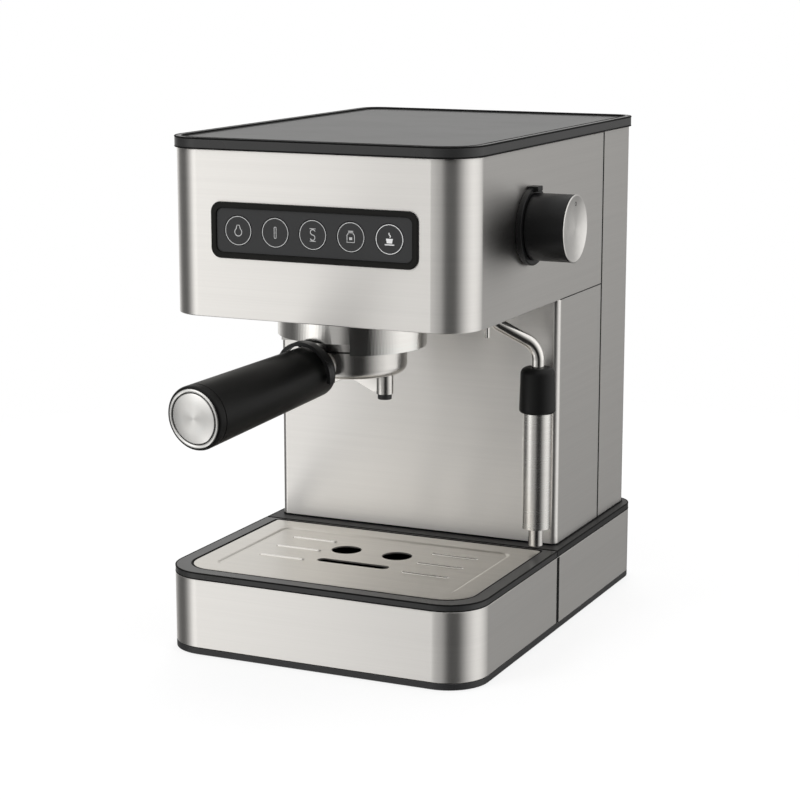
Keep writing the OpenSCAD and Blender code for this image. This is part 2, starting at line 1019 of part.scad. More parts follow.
module spout() {
    color("#b9b7b3")
        on_group()
            rotate([0, 0, -handle_az])
                difference() {
                    for (s = [0, 180])
                        rotate([0, 0, s]) {
                            translate([0, 4, 0])
                                rotate([90, 0, 0])
                                    linear_extrude(8)
                                        polygon([[-1, bowl_z], [spout_half, bowl_z], [spout_half, spout_z + 3],
                                            [spout_half - spout_d / 2, spout_z + 1], [0, bowl_z - 3], [-1, bowl_z - 3]]);
                            translate([spout_half, 0, spout_z])
                                cylinder(h = bowl_z - spout_z, d = spout_d);
                        }
                    for (s = [-1, 1]) {
                        translate([s * spout_half, 0, spout_z - cut])
                            cylinder(h = bowl_z - spout_z - 2, d = spout_bore);
                        translate([0, 0, bowl_z - 1])
                            rotate([0, s * (90 + spout_slope), 0])
                                cylinder(h = spout_half, r = 1.6);
                    }
                    translate([0, 0, bowl_z - 1.8])
                        cylinder(h = height, r = 3);
                }
}

spout_slope = atan((bowl_z - spout_z - 5) / spout_half);

module spout_tips() {
    color("#161616")
        on_group()
            rotate([0, 0, -handle_az])
                for (s = [-1, 1])
                    translate([s * spout_half, 0, 0]) {
                        tube(spout_d / 2 - 0.9, 2.2, spout_z - tip_h, spout_z);
                        tube(spout_bore / 2 - fit, 2.2, spout_z - tip_h, spout_z + 4);
                    }
}

stud_d = 8;
stud_len = 46;
ferrule_r = 9.2;
ferrule_x = bowl_r + 2.6;
handle_cap_r = grip_end_r - 0.9;
handle_cap_t = 1.8;
clip_x = collar_r + 4.6;
clip_w = 5;
clip_pin_d = 3;

// Radius of the grip at a distance from the group's axis
function grip_r(x) = grip_root_r + (grip_end_r - grip_root_r) * (x - bowl_r) / (handle_len - bowl_r);

module handle_stud() {
    color("#cfcdca")
        on_group() {
            difference() {
                on_handle_from_group()
                    bar_x(ferrule_r, bowl_r - 4, ferrule_x);
                translate([0, 0, bowl_z - cut])
                    cylinder(h = bowl_top - bowl_z, r = bowl_r);
            }
            on_handle_from_group()
                bar_x(stud_d / 2, bowl_r - bowl_wall + 0.4, ferrule_x + stud_len);
        }
}

module handle_grip() {
    color("#161616")
        on_group()
            difference() {
                on_handle_from_group()
                    rotate([0, 90, 0])
                        rotate_extrude()
                            polygon([[0, ferrule_x], [ferrule_r + 1.6, ferrule_x], [grip_r(40) - 0.8, 38.5],
                                [grip_r(41), 41], [grip_end_r, handle_len - 1.2],
                                [grip_end_r - 0.5, handle_len], [handle_cap_r + fit, handle_len],
                                [handle_cap_r + fit, handle_len - handle_cap_t],
                                [0, handle_len - handle_cap_t]]);
                on_handle_from_group() {
                    bar_x(stud_d / 2 + fit, 0, ferrule_x + stud_len);
                    for (s = [-1, 1])
                        translate([clip_x, s * (grip_r(clip_x) - 2.5), 0])
                            rotate([s * -90, 0, 0])
                                cylinder(h = 10, d = clip_pin_d + 2 * fit);
                }
                cylinder(h = height, r = bowl_r + run);
            }
}

module handle_cap() {
    color("#d0cecb")
        on_handle()
            bar_x(handle_cap_r, handle_len - handle_cap_t, handle_len);
}

module basket_clip() {
    color("#121212")
        on_handle()
            translate([clip_x, 0, 0]) {
                translate([-clip_w / 2, 0, 0])
                    rotate([0, 90, 0])
                        rotate([0, 0, 78])
                            rotate_extrude(angle = 204)
                                translate([grip_r(clip_x) + 1.3, 0])
                                    square([2.2, clip_w]);
                for (s = [-1, 1])
                    translate([0, s * (grip_r(clip_x) - 2), 0])
                        rotate([s * -90, 0, 0])
                            cylinder(h = 4, d = clip_pin_d);
            }
}

// ---- Steam wand ----

nut_flange = 2.5;
nut_drop = 5.6;
bend_r1 = 9;
bend_r2 = 14;
bend_full = 0.04;
bend_lap = 0.3;
bend_a = 60;
wand_r = wand_d / 2;
upper_z = head_z - 4.1;
slope_len = (wand_reach - (bend_r1 + bend_r2) * (1 - cos(bend_a))) / sin(bend_a);
low_z = upper_z - (bend_r1 + bend_r2) * sin(bend_a) - slope_len * cos(bend_a);
wand_grip_top = low_z - 4.4;
wand_grip_z = wand_grip_top - wand_grip_len;
steam_tip_z = base_h + steam_tip_clear;
sleeve_z = steam_tip_z + steam_tip_len;
sleeve_top = wand_grip_z + 5;
sleeve_r = sleeve_d / 2;
sleeve_wall = 1.2;

// Places a child that is drawn with the wand's reach along +X and the pivot on Z
module on_wand() {
    translate([pivot_x, pivot_y, 0])
        rotate([0, 0, wand_az])
            children();
}

module wand_nut() {
    color("#9b9c9d")
        translate([pivot_x, pivot_y, 0])
            difference() {
                union() {
                    translate([0, 0, head_z - nut_drop + 3])
                        cylinder(h = nut_drop - 3, r = nut_r);
                    translate([0, 0, head_z - cut])
                        cylinder(h = floor_t + nut_flange + cut, r = nut_r - 2);
                    translate([0, 0, flange_z])
                        cylinder(h = nut_flange, r = nut_r + 1);
                }
                cylinder(h = head_z + floor_t, r = wand_r + fit);
                cylinder(h = height, r = wand_r * 0.6);
            }
}

module wand_tube() {
    color("#c6c5c2")
        on_wand() {
            translate([0, 0, upper_z - bend_lap])
                pipe(wand_r, flange_z - 0.5 - upper_z + bend_lap);
            translate([bend_r1, 0, upper_z])
                bend(wand_r, bend_r1, 180, 180 + bend_a, bend_full);
            translate([wand_reach - bend_r2 * (1 - cos(bend_a)), 0, low_z + bend_r2 * sin(bend_a)])
                rotate([0, -bend_a, 0])
                    translate([0, 0, -bend_lap])
                        pipe(wand_r, slope_len + 2 * bend_lap);
            translate([wand_reach - bend_r2, 0, low_z])
                bend(wand_r, bend_r2, 0, bend_a, bend_full);
            translate([wand_reach, 0, sleeve_z])
                pipe(wand_r, low_z - sleeve_z + bend_lap);
        }
}

module wand_grip() {
    color("#141414")
        on_wand()
            translate([wand_reach, 0, wand_grip_z])
                difference() {
                    rotate_extrude()
                        difference() {
                            union() {
                                polygon([[0, 2], [wand_grip_d / 2, 2], [wand_grip_d / 2 - 0.6, wand_grip_len - 4],
                                    [0, wand_grip_len - 4]]);
                                square([wand_grip_d / 2 - 2, 4]);
                                translate([wand_grip_d / 2 - 2, 2])
                                    circle(2);
                                translate([0, wand_grip_len - 6])
                                    square([wand_grip_d / 2 - 4.6, 6]);
                                translate([wand_grip_d / 2 - 4.6, wand_grip_len - 4])
                                    intersection() {
                                        circle(4);
                                        square(4);
                                    }
                            }
                            translate([-cut, -cut])
                                square([wand_r + fit + cut, height]);
                        }
                    translate([0, 0, -cut])
                        cylinder(h = sleeve_top - wand_grip_z + run + cut, r = sleeve_r + run);
                }
}

module froth_sleeve() {
    color("#c9c8c6")
        on_wand()
            translate([wand_reach, 0, 0])
                difference() {
                    union() {
                        tube(sleeve_r, sleeve_r - sleeve_wall, sleeve_z, sleeve_top);
                        tube(sleeve_r - sleeve_wall / 2, wand_r + run, sleeve_top - 8, sleeve_top - 4);
                    }
                    translate([0, 0, sleeve_top - 20])
                        rotate([0, 90, 0])
                            cylinder(h = 20, d = 1.2);
                }
}

module steam_tip() {
    color("#b9b8b5")
        on_wand()
            translate([wand_reach, 0, 0])
                difference() {
                    union() {
                        translate([0, 0, steam_tip_z])
                            cylinder(h = steam_tip_len, d = steam_tip_d);
                        translate([0, 0, sleeve_z - 1])
                            cylinder(h = 12, d = steam_tip_d);
                        translate([0, 0, sleeve_z + 5])
                            cylinder(h = 4, r = sleeve_r - sleeve_wall - run);
                    }
                    translate([0, 0, sleeve_z])
                        cylinder(h = 20, r = wand_r + fit);
                    cylinder(h = height, d = 2);
                }
}

module relief_nozzle() {
    color("#c4c3c0")
        translate([nozzle_x, nozzle_y, 0]) {
            tube(nozzle_d / 2, nozzle_d / 4, head_z - 14.8, flange_z + 3);
            tube(nozzle_d / 2 + 1.5, nozzle_d / 4, flange_z, flange_z + 1.5);
        }
}

// ---- Water ----

tank_w = bay_w - 2 * tank_gap;
tank_front = bay_front + tank_gap;
tank_z = bay_floor + run;
tank_top = bay_top - tank_head - tank_lid_t;
tank_r = 6;
valve_y = bay_front - 9;
grip_w = 70;
grip_h = 22;
grip_in = 9;
grip_z = tank_top - 40;

module water_tank() {
    color("#4a5054", 0.7)
        difference() {
            slab(tank_z, tank_top)
                plan(tank_w, tank_front, body_back, tank_r, 2);
            difference() {
                slab(tank_z + tank_wall, height)
                    plan(tank_w - 2 * tank_wall, tank_front + tank_wall, body_back - tank_wall,
                        tank_r - tank_wall, 2);
                translate([-grip_w / 2 - tank_wall, body_back - grip_in - tank_wall, grip_z - tank_wall])
                    cube([grip_w + 2 * tank_wall, grip_in + tank_wall, grip_h + 2 * tank_wall]);
            }
            translate([-grip_w / 2, body_back - grip_in, grip_z])
                cube([grip_w, grip_in + cut, grip_h]);
            translate([seat_x, 0, seat_z])
                bar_y(valve_d / 2 + fit, 0, tank_front + tank_wall + cut);
        }
}

module tank_lid() {
    color("#202122") {
        slab(tank_top, tank_top + tank_lid_t)
            plan(tank_w, tank_front, body_back, tank_r, 2);
        slab(tank_top - 3, tank_top + cut)
            difference() {
                plan(tank_w - 2 * tank_wall - 2 * run, tank_front + tank_wall + run,
                    body_back - tank_wall - run, tank_r - tank_wall - run, 2);
                plan(tank_w - 4 * tank_wall - 2 * run, tank_front + 2 * tank_wall + run,
                    body_back - 2 * tank_wall - run, 0, 0);
            }
    }
}

module tank_valve() {
    color("#d8d6d2")
        translate([seat_x, 0, seat_z])
            difference() {
                union() {
                    bar_y(valve_d / 2, valve_y, tank_front + tank_wall + 3);
                    bar_y(valve_d / 2 + 2, tank_front + tank_wall, tank_front + tank_wall + 2);
                }
                bar_y(valve_d / 2 - 3, valve_y - cut, body_back);
            }
}

seat_y = valve_y - run - 3;

module tank_seat() {
    color("#2b2c2e")
        translate([seat_x, 0, seat_z])
            difference() {
                union() {
                    bar_y(seat_r - 2, seat_y, bay_front);
                    bar_y(seat_r, seam_y + seam - 3, seam_y + seam);
                }
                bar_y(valve_d / 2 + run, valve_y - run, bay_front + cut);
                bar_y(2, 0, bay_front);
            }
}

pump_back = 36;
pump_y = seam_y - pump_back;
pump_r = 22;
hose_bend = 12;
pump_z = seat_z + hose_bend;
pump_inlet = 16;
pump_block = pump_z + pump_inlet;
pump_block_h = 46;
pump_outlet = 24;
pump_top = pump_block + pump_block_h + pump_outlet;
pump_mount_w = 24;
pump_mount_h = 10;

// Vibration pump with its rubber mounts against the bulkhead
module pump() {
    color("#3d5568")
        translate([seat_x, pump_y, 0]) {
            translate([0, 0, pump_z])
                cylinder(h = pump_inlet + cut, r = pump_r * 0.6);
            translate([-pump_r, -pump_r, pump_block])
                cube([2 * pump_r, 2 * pump_r, pump_block_h]);
            translate([0, 0, pump_block + pump_block_h - cut])
                cylinder(h = pump_outlet + cut, r = pump_r / 2);
        }
    color("#151515")
        for (z = [pump_block + 4, pump_block + pump_block_h - pump_mount_h - 4])
            translate([seat_x - pump_mount_w / 2, pump_y + pump_r, z])
                cube([pump_mount_w, seam_y + seam - pump_y - pump_r, pump_mount_h]);
}

hose_r = hose_d / 2;

// Suction hose from the tank to the pump, pressure hose from the pump to the boiler
module hoses() {
    color("#e4e2dc") {
        translate([seat_x, pump_y, 0])
            rotate([0, 0, 90])
                translate([hose_bend, 0, pump_z])
                    bend(hose_r, hose_bend, 180, 270);
        translate([seat_x, pump_y + hose_bend, seat_z])
            rotate([-90, 0, 0])
                pipe(hose_r, seat_y - pump_y - hose_bend);
        translate([seat_x, pump_y, pump_top])
            pipe(hose_r, inlet_z - hose_bend - pump_top);
        translate([seat_x, pump_y, inlet_z - hose_bend])
            rotate([0, 0, -90])
                translate([hose_bend, 0, 0])
                    bend(hose_r, hose_bend, 90, 180);
        translate([seat_x, group_y + boiler_r, inlet_z])
            rotate([-90, 0, 0])
                pipe(hose_r, pump_y - hose_bend - group_y - boiler_r);
    }
}

board_x = 38;
power_z = pump_z + 20;
power_w = 64;
power_h = 88;
power_t = 1.6;
standoff = 8;
standoff_r = 3;
standoff_in = 6;
relay_size = [26, 19, 24];
filter_size = [8, 15, 40];
driver_size = [18, 11, 14];

// Block on the front of the power board, with its lower left corner at x and z
module on_board(x, z, size) {
    translate([x, -power_t - size[1] + cut, z])
        cube(size);
}

module power_board() {
    color("#2c6b44")
        translate([board_x - power_w / 2, seam_y + seam - standoff, power_z]) {
            translate([0, -power_t, 0])
                cube([power_w, power_t, power_h]);
            for (x = [standoff_in, power_w - standoff_in], z = [standoff_in, power_h - standoff_in])
                translate([x, 0, z])
                    bar_y(standoff_r, -cut, standoff);
            on_board(10, 14, relay_size);
            on_board(44, 20, filter_size);
            on_board(14, 54, driver_size);
        }
}

module cord_gland() {
    color("#151515")
        translate([gland_x, 0, gland_z])
            difference() {
                union() {
                    bar_y(gland_d / 2 - 2 - fit, back_y - wall - 3, back_y + 3);
                    bar_y(gland_d / 2, back_y, back_y + 2.5);
                    bar_y(gland_d / 2, back_y - wall - 3, back_y - wall);
                }
                bar_y(3.5, 0, height);
            }
}

base_plinth();
rubber_feet();
rear_base_wrap();
base_deck();
floor_screws();
tray_wrap();
tray_pan();
tray_rim();
drip_grille();
column_wrap();
head_shell();
head_floor();
rear_shell();
tank_bay();
lid_frame();
cup_plate();
panel_bezel();
panel_plate();
button_1();
button_2();
button_3();
button_4();
button_5();
control_board();
knob_ring();
steam_knob();
knob_cap();
valve_spindle();
steam_valve();
steam_pipes();
group_collar();
group_head();
brew_gasket();
shower_screen();
shower_screw();
boiler();
boiler_screws();
thermostats();
portafilter_bowl();
filter_basket();
spout();
spout_tips();
handle_stud();
handle_grip();
handle_cap();
basket_clip();
wand_nut();
wand_tube();
wand_grip();
froth_sleeve();
steam_tip();
relief_nozzle();
water_tank();
tank_lid();
tank_valve();
tank_seat();
pump();
hoses();
power_board();
cord_gland();
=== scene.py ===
import json
import math

import bmesh
import bpy
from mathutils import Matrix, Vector

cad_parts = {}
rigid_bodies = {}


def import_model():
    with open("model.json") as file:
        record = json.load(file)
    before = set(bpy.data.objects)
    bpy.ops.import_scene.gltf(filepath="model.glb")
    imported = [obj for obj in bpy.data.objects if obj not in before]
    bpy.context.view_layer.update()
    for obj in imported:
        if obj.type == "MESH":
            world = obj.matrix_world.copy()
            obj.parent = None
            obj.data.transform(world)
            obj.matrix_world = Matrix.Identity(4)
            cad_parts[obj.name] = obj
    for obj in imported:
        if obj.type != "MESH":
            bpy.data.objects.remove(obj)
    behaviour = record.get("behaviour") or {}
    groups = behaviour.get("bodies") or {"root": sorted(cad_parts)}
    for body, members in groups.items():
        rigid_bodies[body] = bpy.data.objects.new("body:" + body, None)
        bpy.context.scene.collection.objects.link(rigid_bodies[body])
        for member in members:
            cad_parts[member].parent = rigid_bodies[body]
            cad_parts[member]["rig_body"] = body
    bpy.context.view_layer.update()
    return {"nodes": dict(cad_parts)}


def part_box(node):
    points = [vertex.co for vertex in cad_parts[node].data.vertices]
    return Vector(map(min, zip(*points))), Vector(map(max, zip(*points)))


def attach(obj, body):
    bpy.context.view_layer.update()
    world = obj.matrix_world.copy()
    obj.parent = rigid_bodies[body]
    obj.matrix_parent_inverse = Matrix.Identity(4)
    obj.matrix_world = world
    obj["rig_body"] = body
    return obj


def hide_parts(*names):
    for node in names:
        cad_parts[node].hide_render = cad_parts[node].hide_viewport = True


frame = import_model()
scene = bpy.context.scene
mm = 0.001

# ---- Camera ----
# It stands to the right of the machine's front, a little above the lid,
# and looks down on it with a long lens.
camera_data = bpy.data.cameras.new("camera")
camera_data.lens = 98.05
camera_data.sensor_width = 36
camera = bpy.data.objects.new("camera", camera_data)
scene.collection.objects.link(camera)
camera.location = (0.55121, -1.2122, 0.40515)
camera.rotation_euler = Vector((-0.4106, 0.8898, -0.1992)).to_track_quat("-Z", "Y").to_euler()
scene.camera = camera

# ---- Studio ----
# A white room. Polished metal also sees its dark cards, which stand between the soft boxes
# and give steel its dark and bright upright bands.
scene.view_settings.view_transform = "Standard"
world = bpy.data.worlds.new("studio")
scene.world = world
world.use_nodes = True


def add(tree, kind, **values):
    """A new node, with its properties set by name and its inputs by in_NAME or in_NUMBER.
    An input given a node is linked to its first output, and one given an output to that."""
    node = tree.nodes.new(kind)
    for key, value in values.items():
        if not key.startswith("in_"):
            setattr(node, key, value)
            continue
        key = key[3:]
        entry = node.inputs[int(key) if key.isdigit() else key.replace("_", " ")]
        if isinstance(value, bpy.types.Node):
            value = value.outputs[0]
        if isinstance(value, bpy.types.NodeSocket):
            tree.links.new(value, entry)
        else:
            entry.default_value = value
    return node


def stops(ramp, levels):
    """Grey levels at places from 0 to 1 on a colour ramp."""
    elements = ramp.color_ramp.elements
    while len(elements) < len(levels):
        elements.new(0.5)
    for element, (place, level) in zip(elements, levels):
        element.position = place
        element.color = (level, level * 0.992, level * 0.975, 1)


def compass(levels):
    """The same levels, with their places in degrees from -180 to 180."""
    return [((degrees + 180) / 360, level) for degrees, level in levels]


# How bright the room is to polished metal: round it by degrees from +X, on the card to the right
# by the same degrees, and below the horizon from straight down, 0, to level, 1.
round_the_room = compass([
    (-180, 0.13), (-168, 0.1), (-158, 0.2), (-145, 0.65), (-133, 1.3), (-121, 1.24),
    (-116, 0.84), (-109, 0.54), (-97, 0.44), (-84, 0.38), (-75, 0.16), (-67, 0.018),
    (-39, 0.018), (-28, 0.22), (-10, 0.62), (6, 0.9), (16, 1), (40, 1), (54, 0.78), (66, 0.42),
    (74, 0.31), (88, 0.31), (104, 0.82), (140, 0.82), (160, 0.26), (172, 0.13)])
right_hand_card = compass([(30, 0), (55, 1), (100, 1), (125, 0)])
below_the_lens = [(0, 0.76), (0.57, 0.76), (0.65, 0.58), (0.72, 0.53), (0.8, 0.79), (0.87, 1)]
ceiling = (0.92, 0.915, 0.9, 1)


def studio_world(tree):
    tree.nodes.clear()
    direction = add(tree, "ShaderNodeTexCoord")
    parts = add(tree, "ShaderNodeSeparateXYZ", in_0=direction.outputs["Generated"])
    turn = add(tree, "ShaderNodeMath", operation="ARCTAN2", in_0=parts.outputs["Y"],
               in_1=parts.outputs["X"])
    share = add(tree, "ShaderNodeMapRange", in_From_Min=-math.pi, in_From_Max=math.pi,
                in_Value=turn)
    around = add(tree, "ShaderNodeValToRGB", in_0=share)
    stops(around, round_the_room)
    overhead = add(tree, "ShaderNodeMapRange", in_From_Min=0.35, in_From_Max=0.85,
                   in_Value=parts.outputs["Z"])
    seen = add(tree, "ShaderNodeMix", data_type="RGBA", in_0=overhead, in_6=around, in_7=ceiling)
    drop = add(tree, "ShaderNodeMapRange", in_From_Min=-1, in_From_Max=0,
               in_Value=parts.outputs["Z"])
    low = add(tree, "ShaderNodeValToRGB", in_0=drop)
    stops(low, below_the_lens)
    beside = add(tree, "ShaderNodeValToRGB", in_0=share)
    stops(beside, right_hand_card)
    deep = add(tree, "ShaderNodeMapRange", in_From_Min=-0.42, in_From_Max=-0.2, in_To_Min=0.85,
               in_To_Max=0, in_Value=parts.outputs["Z"])
    shade = add(tree, "ShaderNodeMath", operation="MULTIPLY", in_0=beside, in_1=deep)
    rest = add(tree, "ShaderNodeMath", operation="SUBTRACT", in_0=1, in_1=shade)
    level = add(tree, "ShaderNodeMath", operation="MULTIPLY", in_0=rest, in_1=low)
    dimmed = add(tree, "ShaderNodeVectorMath", operation="SCALE", in_0=seen.outputs[2],
                 in_Scale=level)
    path = add(tree, "ShaderNodeLightPath")
    gloss = add(tree, "ShaderNodeMix", data_type="RGBA", in_6=(1, 1, 1, 1),
                in_0=path.outputs["Is Glossy Ray"], in_7=dimmed)
    backdrop = add(tree, "ShaderNodeBackground", in_Strength=1, in_Color=gloss.outputs[2])
    fill = add(tree, "ShaderNodeBackground", in_Color=(1, 1, 1, 1), in_Strength=0.55)
    seen_1 = add(tree, "ShaderNodeMath", operation="MAXIMUM", in_0=path.outputs["Is Camera Ray"],
                 in_1=path.outputs["Is Glossy Ray"])
    seen_2 = add(tree, "ShaderNodeMath", operation="MAXIMUM", in_0=seen_1,
                 in_1=path.outputs["Is Transmission Ray"])
    mix = add(tree, "ShaderNodeMixShader", in_0=seen_2, in_1=fill, in_2=backdrop)
    add(tree, "ShaderNodeOutputWorld", in_0=mix)


studio_world(world.node_tree)

aim = Vector((0, 0, 0.12))
for name, place, size, power in (("key", (-0.9, -1.3, 1.5), 1.1, 21),
                                 ("side", (1.7, -0.2, 1.2), 1.0, 9),
                                 ("top", (0.1, 0.3, 1.9), 1.4, 15),
                                 ("back", (-0.6, 1.7, 1.1), 1.2, 13)):
    lamp_data = bpy.data.lights.new(name, "AREA")
    lamp_data.shape = "DISK"
    lamp_data.size = size
    lamp_data.energy = power
    lamp = bpy.data.objects.new(name, lamp_data)
    scene.collection.objects.link(lamp)
    lamp.location = place
    lamp.rotation_euler = (aim - Vector(place)).to_track_quat("-Z", "Y").to_euler()
    lamp.visible_glossy = False


def material(name):
    made = bpy.data.materials.new(name)
    made.use_nodes = True
    made.node_tree.nodes.clear()
    return made, made.node_tree


def floor_finish():
    made, tree = material("pale_floor")
    place = add(tree, "ShaderNodeTexCoord")
    away = add(tree, "ShaderNodeVectorMath", operation="LENGTH", in_0=place.outputs["Object"])
    fade = add(tree, "ShaderNodeMapRange", interpolation_type="SMOOTHSTEP", in_From_Min=0.34,
               in_From_Max=0.72, in_Value=away.outputs["Value"])
    speck = add(tree, "ShaderNodeTexNoise", in_Scale=420, in_Detail=3,
                in_Vector=place.outputs["Object"])
    tone = add(tree, "ShaderNodeMapRange", in_To_Min=0.86, in_To_Max=0.9, in_Value=speck)
    board = add(tree, "ShaderNodeBsdfDiffuse", in_Color=tone)
    path = add(tree, "ShaderNodeLightPath")
    seen = add(tree, "ShaderNodeMath", operation="MULTIPLY", in_1=0.78,
               in_0=path.outputs["Is Camera Ray"])
    glow = add(tree, "ShaderNodeEmission", in_Color=(1, 1, 1, 1), in_Strength=1)
    white = add(tree, "ShaderNodeMixShader", in_0=seen, in_1=board, in_2=glow)
    clear = add(tree, "ShaderNodeBsdfTransparent")
    open_to = add(tree, "ShaderNodeMath", operation="MAXIMUM", in_0=fade,
                  in_1=path.outputs["Is Glossy Ray"])
    ends = add(tree, "ShaderNodeMixShader", in_0=open_to, in_1=white, in_2=clear)
    add(tree, "ShaderNodeOutputMaterial", in_0=ends)
    return made


floor_half, floor_z = 0.8, -0.0004
floor_mesh = bpy.data.meshes.new("floor")
floor_mesh.from_pydata([(x * floor_half, y * floor_half, floor_z)
                        for x, y in ((-1, -1), (1, -1), (1, 1), (-1, 1))], [], [(0, 1, 2, 3)])
floor_mesh.materials.append(floor_finish())
floor = bpy.data.objects.new("floor", floor_mesh)
scene.collection.objects.link(floor)

# ---- Base plinth and feet ----
# The plinth is moulded in black plastic, with four rubber feet set into its underside.
# Screws from below hold it to the posts of the base deck.


def node_group(name, kind, inputs, outputs):
    """A node group with its named inputs and outputs, and the node that gives its inputs."""
    group = bpy.data.node_groups.new(name, kind)
    for way, rows in (("INPUT", inputs), ("OUTPUT", outputs)):
        for key, what, *value in rows:
            made = group.interface.new_socket(name=key, in_out=way, socket_type="NodeSocket" + what)
            if value:
                made.default_value = value[0]
    return group, add(group, "NodeGroupInput")


finish_parts = (("Colour", "Color"), ("Roughness", "Float"), ("Height", "Float"))


def about_one(group, spread, signal, low, high):
    """A factor that wanders round 1 by spread, as the signal goes from low to high."""
    least = add(group, "ShaderNodeMath", operation="SUBTRACT", in_0=1, in_1=spread)
    most = add(group, "ShaderNodeMath", operation="ADD", in_0=1, in_1=spread)
    return add(group, "ShaderNodeMapRange", in_Value=signal, in_From_Min=low, in_From_Max=high,
               in_To_Min=least, in_To_Max=most)


def moulding_group():
    """Fine spark-eroded grain of a moulding, with slow clouds in its tone and its shine."""
    group, given = node_group("moulding_grain", "ShaderNodeTree", (
        ("Colour", "Color", (0.02, 0.02, 0.02, 1)), ("Shine", "Float", 0.4),
        ("Grain", "Float", 2600), ("Clouds", "Float", 0.12)), finish_parts)
    place = add(group, "ShaderNodeTexCoord").outputs["Object"]
    grain = add(group, "ShaderNodeTexNoise", in_Vector=place, in_Scale=given.outputs["Grain"],
                in_Detail=2, in_Roughness=0.55)
    cloud = add(group, "ShaderNodeTexNoise", in_Vector=place, in_Scale=24, in_Detail=3,
                in_Roughness=0.5)
    tone = about_one(group, given.outputs["Clouds"], cloud, 0.3, 0.7)
    fleck = add(group, "ShaderNodeMapRange", in_Value=grain, in_From_Min=0.3, in_From_Max=0.7,
                in_To_Min=0.93, in_To_Max=1.07)
    both = add(group, "ShaderNodeMath", operation="MULTIPLY", in_0=tone, in_1=fleck)
    shade = add(group, "ShaderNodeVectorMath", operation="SCALE", in_0=given.outputs["Colour"],
                in_Scale=both)
    dull = add(group, "ShaderNodeMath", operation="MULTIPLY", in_0=given.outputs["Shine"],
               in_1=tone)
    add(group, "NodeGroupOutput", in_Colour=shade, in_Roughness=dull, in_Height=grain)
    return group


moulding_grain = moulding_group()


def skin_over(tree, effect, relief_depth, bump, **constants):
    """The shader over an effect. constants are set on the Principled shader's own sockets."""
    relief = add(tree, "ShaderNodeBump", in_Strength=bump, in_Distance=relief_depth,
                 in_Height=effect.outputs["Height"])
    skin = add(tree, "ShaderNodeBsdfPrincipled", in_Base_Color=effect.outputs["Colour"],
               in_Roughness=effect.outputs["Roughness"], in_Normal=relief, **constants)
    add(tree, "ShaderNodeOutputMaterial", in_0=skin)


def moulded(name, colour, roughness, grain=2600, clouds=0.12, bump=0.12, **constants):
    """A moulded plastic or rubber."""
    made, tree = material(name)
    effect = add(tree, "ShaderNodeGroup", node_tree=moulding_grain, in_Colour=(*colour, 1),
                 in_Shine=roughness, in_Grain=grain, in_Clouds=clouds)
    skin_over(tree, effect, 0.0001, bump, **constants)
    return made


def object_of(name, mesh, *finishes):
    piece = bpy.data.objects.new(name, mesh)
    scene.collection.objects.link(piece)
    for finish in finishes:
        piece.data.materials.append(finish)
    return piece


def baked(piece):
    """The piece with its modifiers applied, as a plain mesh at the origin."""
    graph = bpy.context.evaluated_depsgraph_get()
    mesh = bpy.data.meshes.new_from_object(piece.evaluated_get(graph),
                                           preserve_all_data_layers=True, depsgraph=graph)
    piece.modifiers.clear()
    old, piece.data = piece.data, mesh
    mesh.name = piece.name
    bpy.data.meshes.remove(old)
    return piece


def smoothed(mesh, sharp):
    """Smooth faces, with the edges that turn by more than sharp degrees kept crisp."""
    mesh.shade_smooth()
    mesh.set_sharp_from_angle(angle=math.radians(sharp))


def body_of(node):
    return frame["nodes"][node]["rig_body"]


def placed(piece, node, *more):
    """The piece rides on the node's body and stands for the node, which is hidden."""
    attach(piece, body_of(node))
    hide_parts(node, *more)
    return piece


def mesh_of(name, work):
    """A mesh from a bmesh, with its faces turned outwards."""
    bmesh.ops.recalc_face_normals(work, faces=work.faces)
    mesh = bpy.data.meshes.new(name)
    work.to_mesh(mesh)
    work.free()
    return mesh


def solid_of(node):
    """A merged copy of a solid, with its flat faces whole."""
    work = bmesh.new()
    work.from_mesh(frame["nodes"][node].data)
    bmesh.ops.remove_doubles(work, verts=work.verts, dist=0.002 * mm)
    bmesh.ops.dissolve_limit(work, angle_limit=math.radians(0.6), verts=work.verts,
                             edges=work.edges)
    return mesh_of(node, work)


def eased(node, finish, edge=0.4, sharp=32, segments=2):
    """A solid with its arrises rounded by edge, in mm, as a press or a mould leaves them."""
    piece = object_of("eased_" + node, solid_of(node), finish)
    smoothed(piece.data, sharp)
    arris = piece.modifiers.new("arris", "BEVEL")
    arris.width = edge * mm
    arris.segments = segments
    arris.limit_method = "ANGLE"
    arris.angle_limit = math.radians(sharp)
    arris.miter_outer = "MITER_ARC"
    level = piece.modifiers.new("level", "WEIGHTED_NORMAL")
    level.keep_sharp = True
    baked(piece)
    return placed(piece, node)


def dressed(node, finish):
    """A solid that stays as it is and takes a finish."""
    mesh = frame["nodes"][node].data
    mesh.materials.clear()
    mesh.materials.append(finish)


black_plastic = moulded("black_moulding", (0.022, 0.022, 0.023), 0.42)
foot_rubber = moulded("foot_rubber", (0.014, 0.014, 0.014), 0.78, grain=1500, bump=0.3)
eased("base_plinth", black_plastic, 0.6)
eased("rubber_feet", foot_rubber, 0.3)

# ---- Drip tray ----
# A moulded pan slides out to the front. Its outside is wrapped in brushed stainless steel,
# and a black moulded rim clips over both and carries the grille.


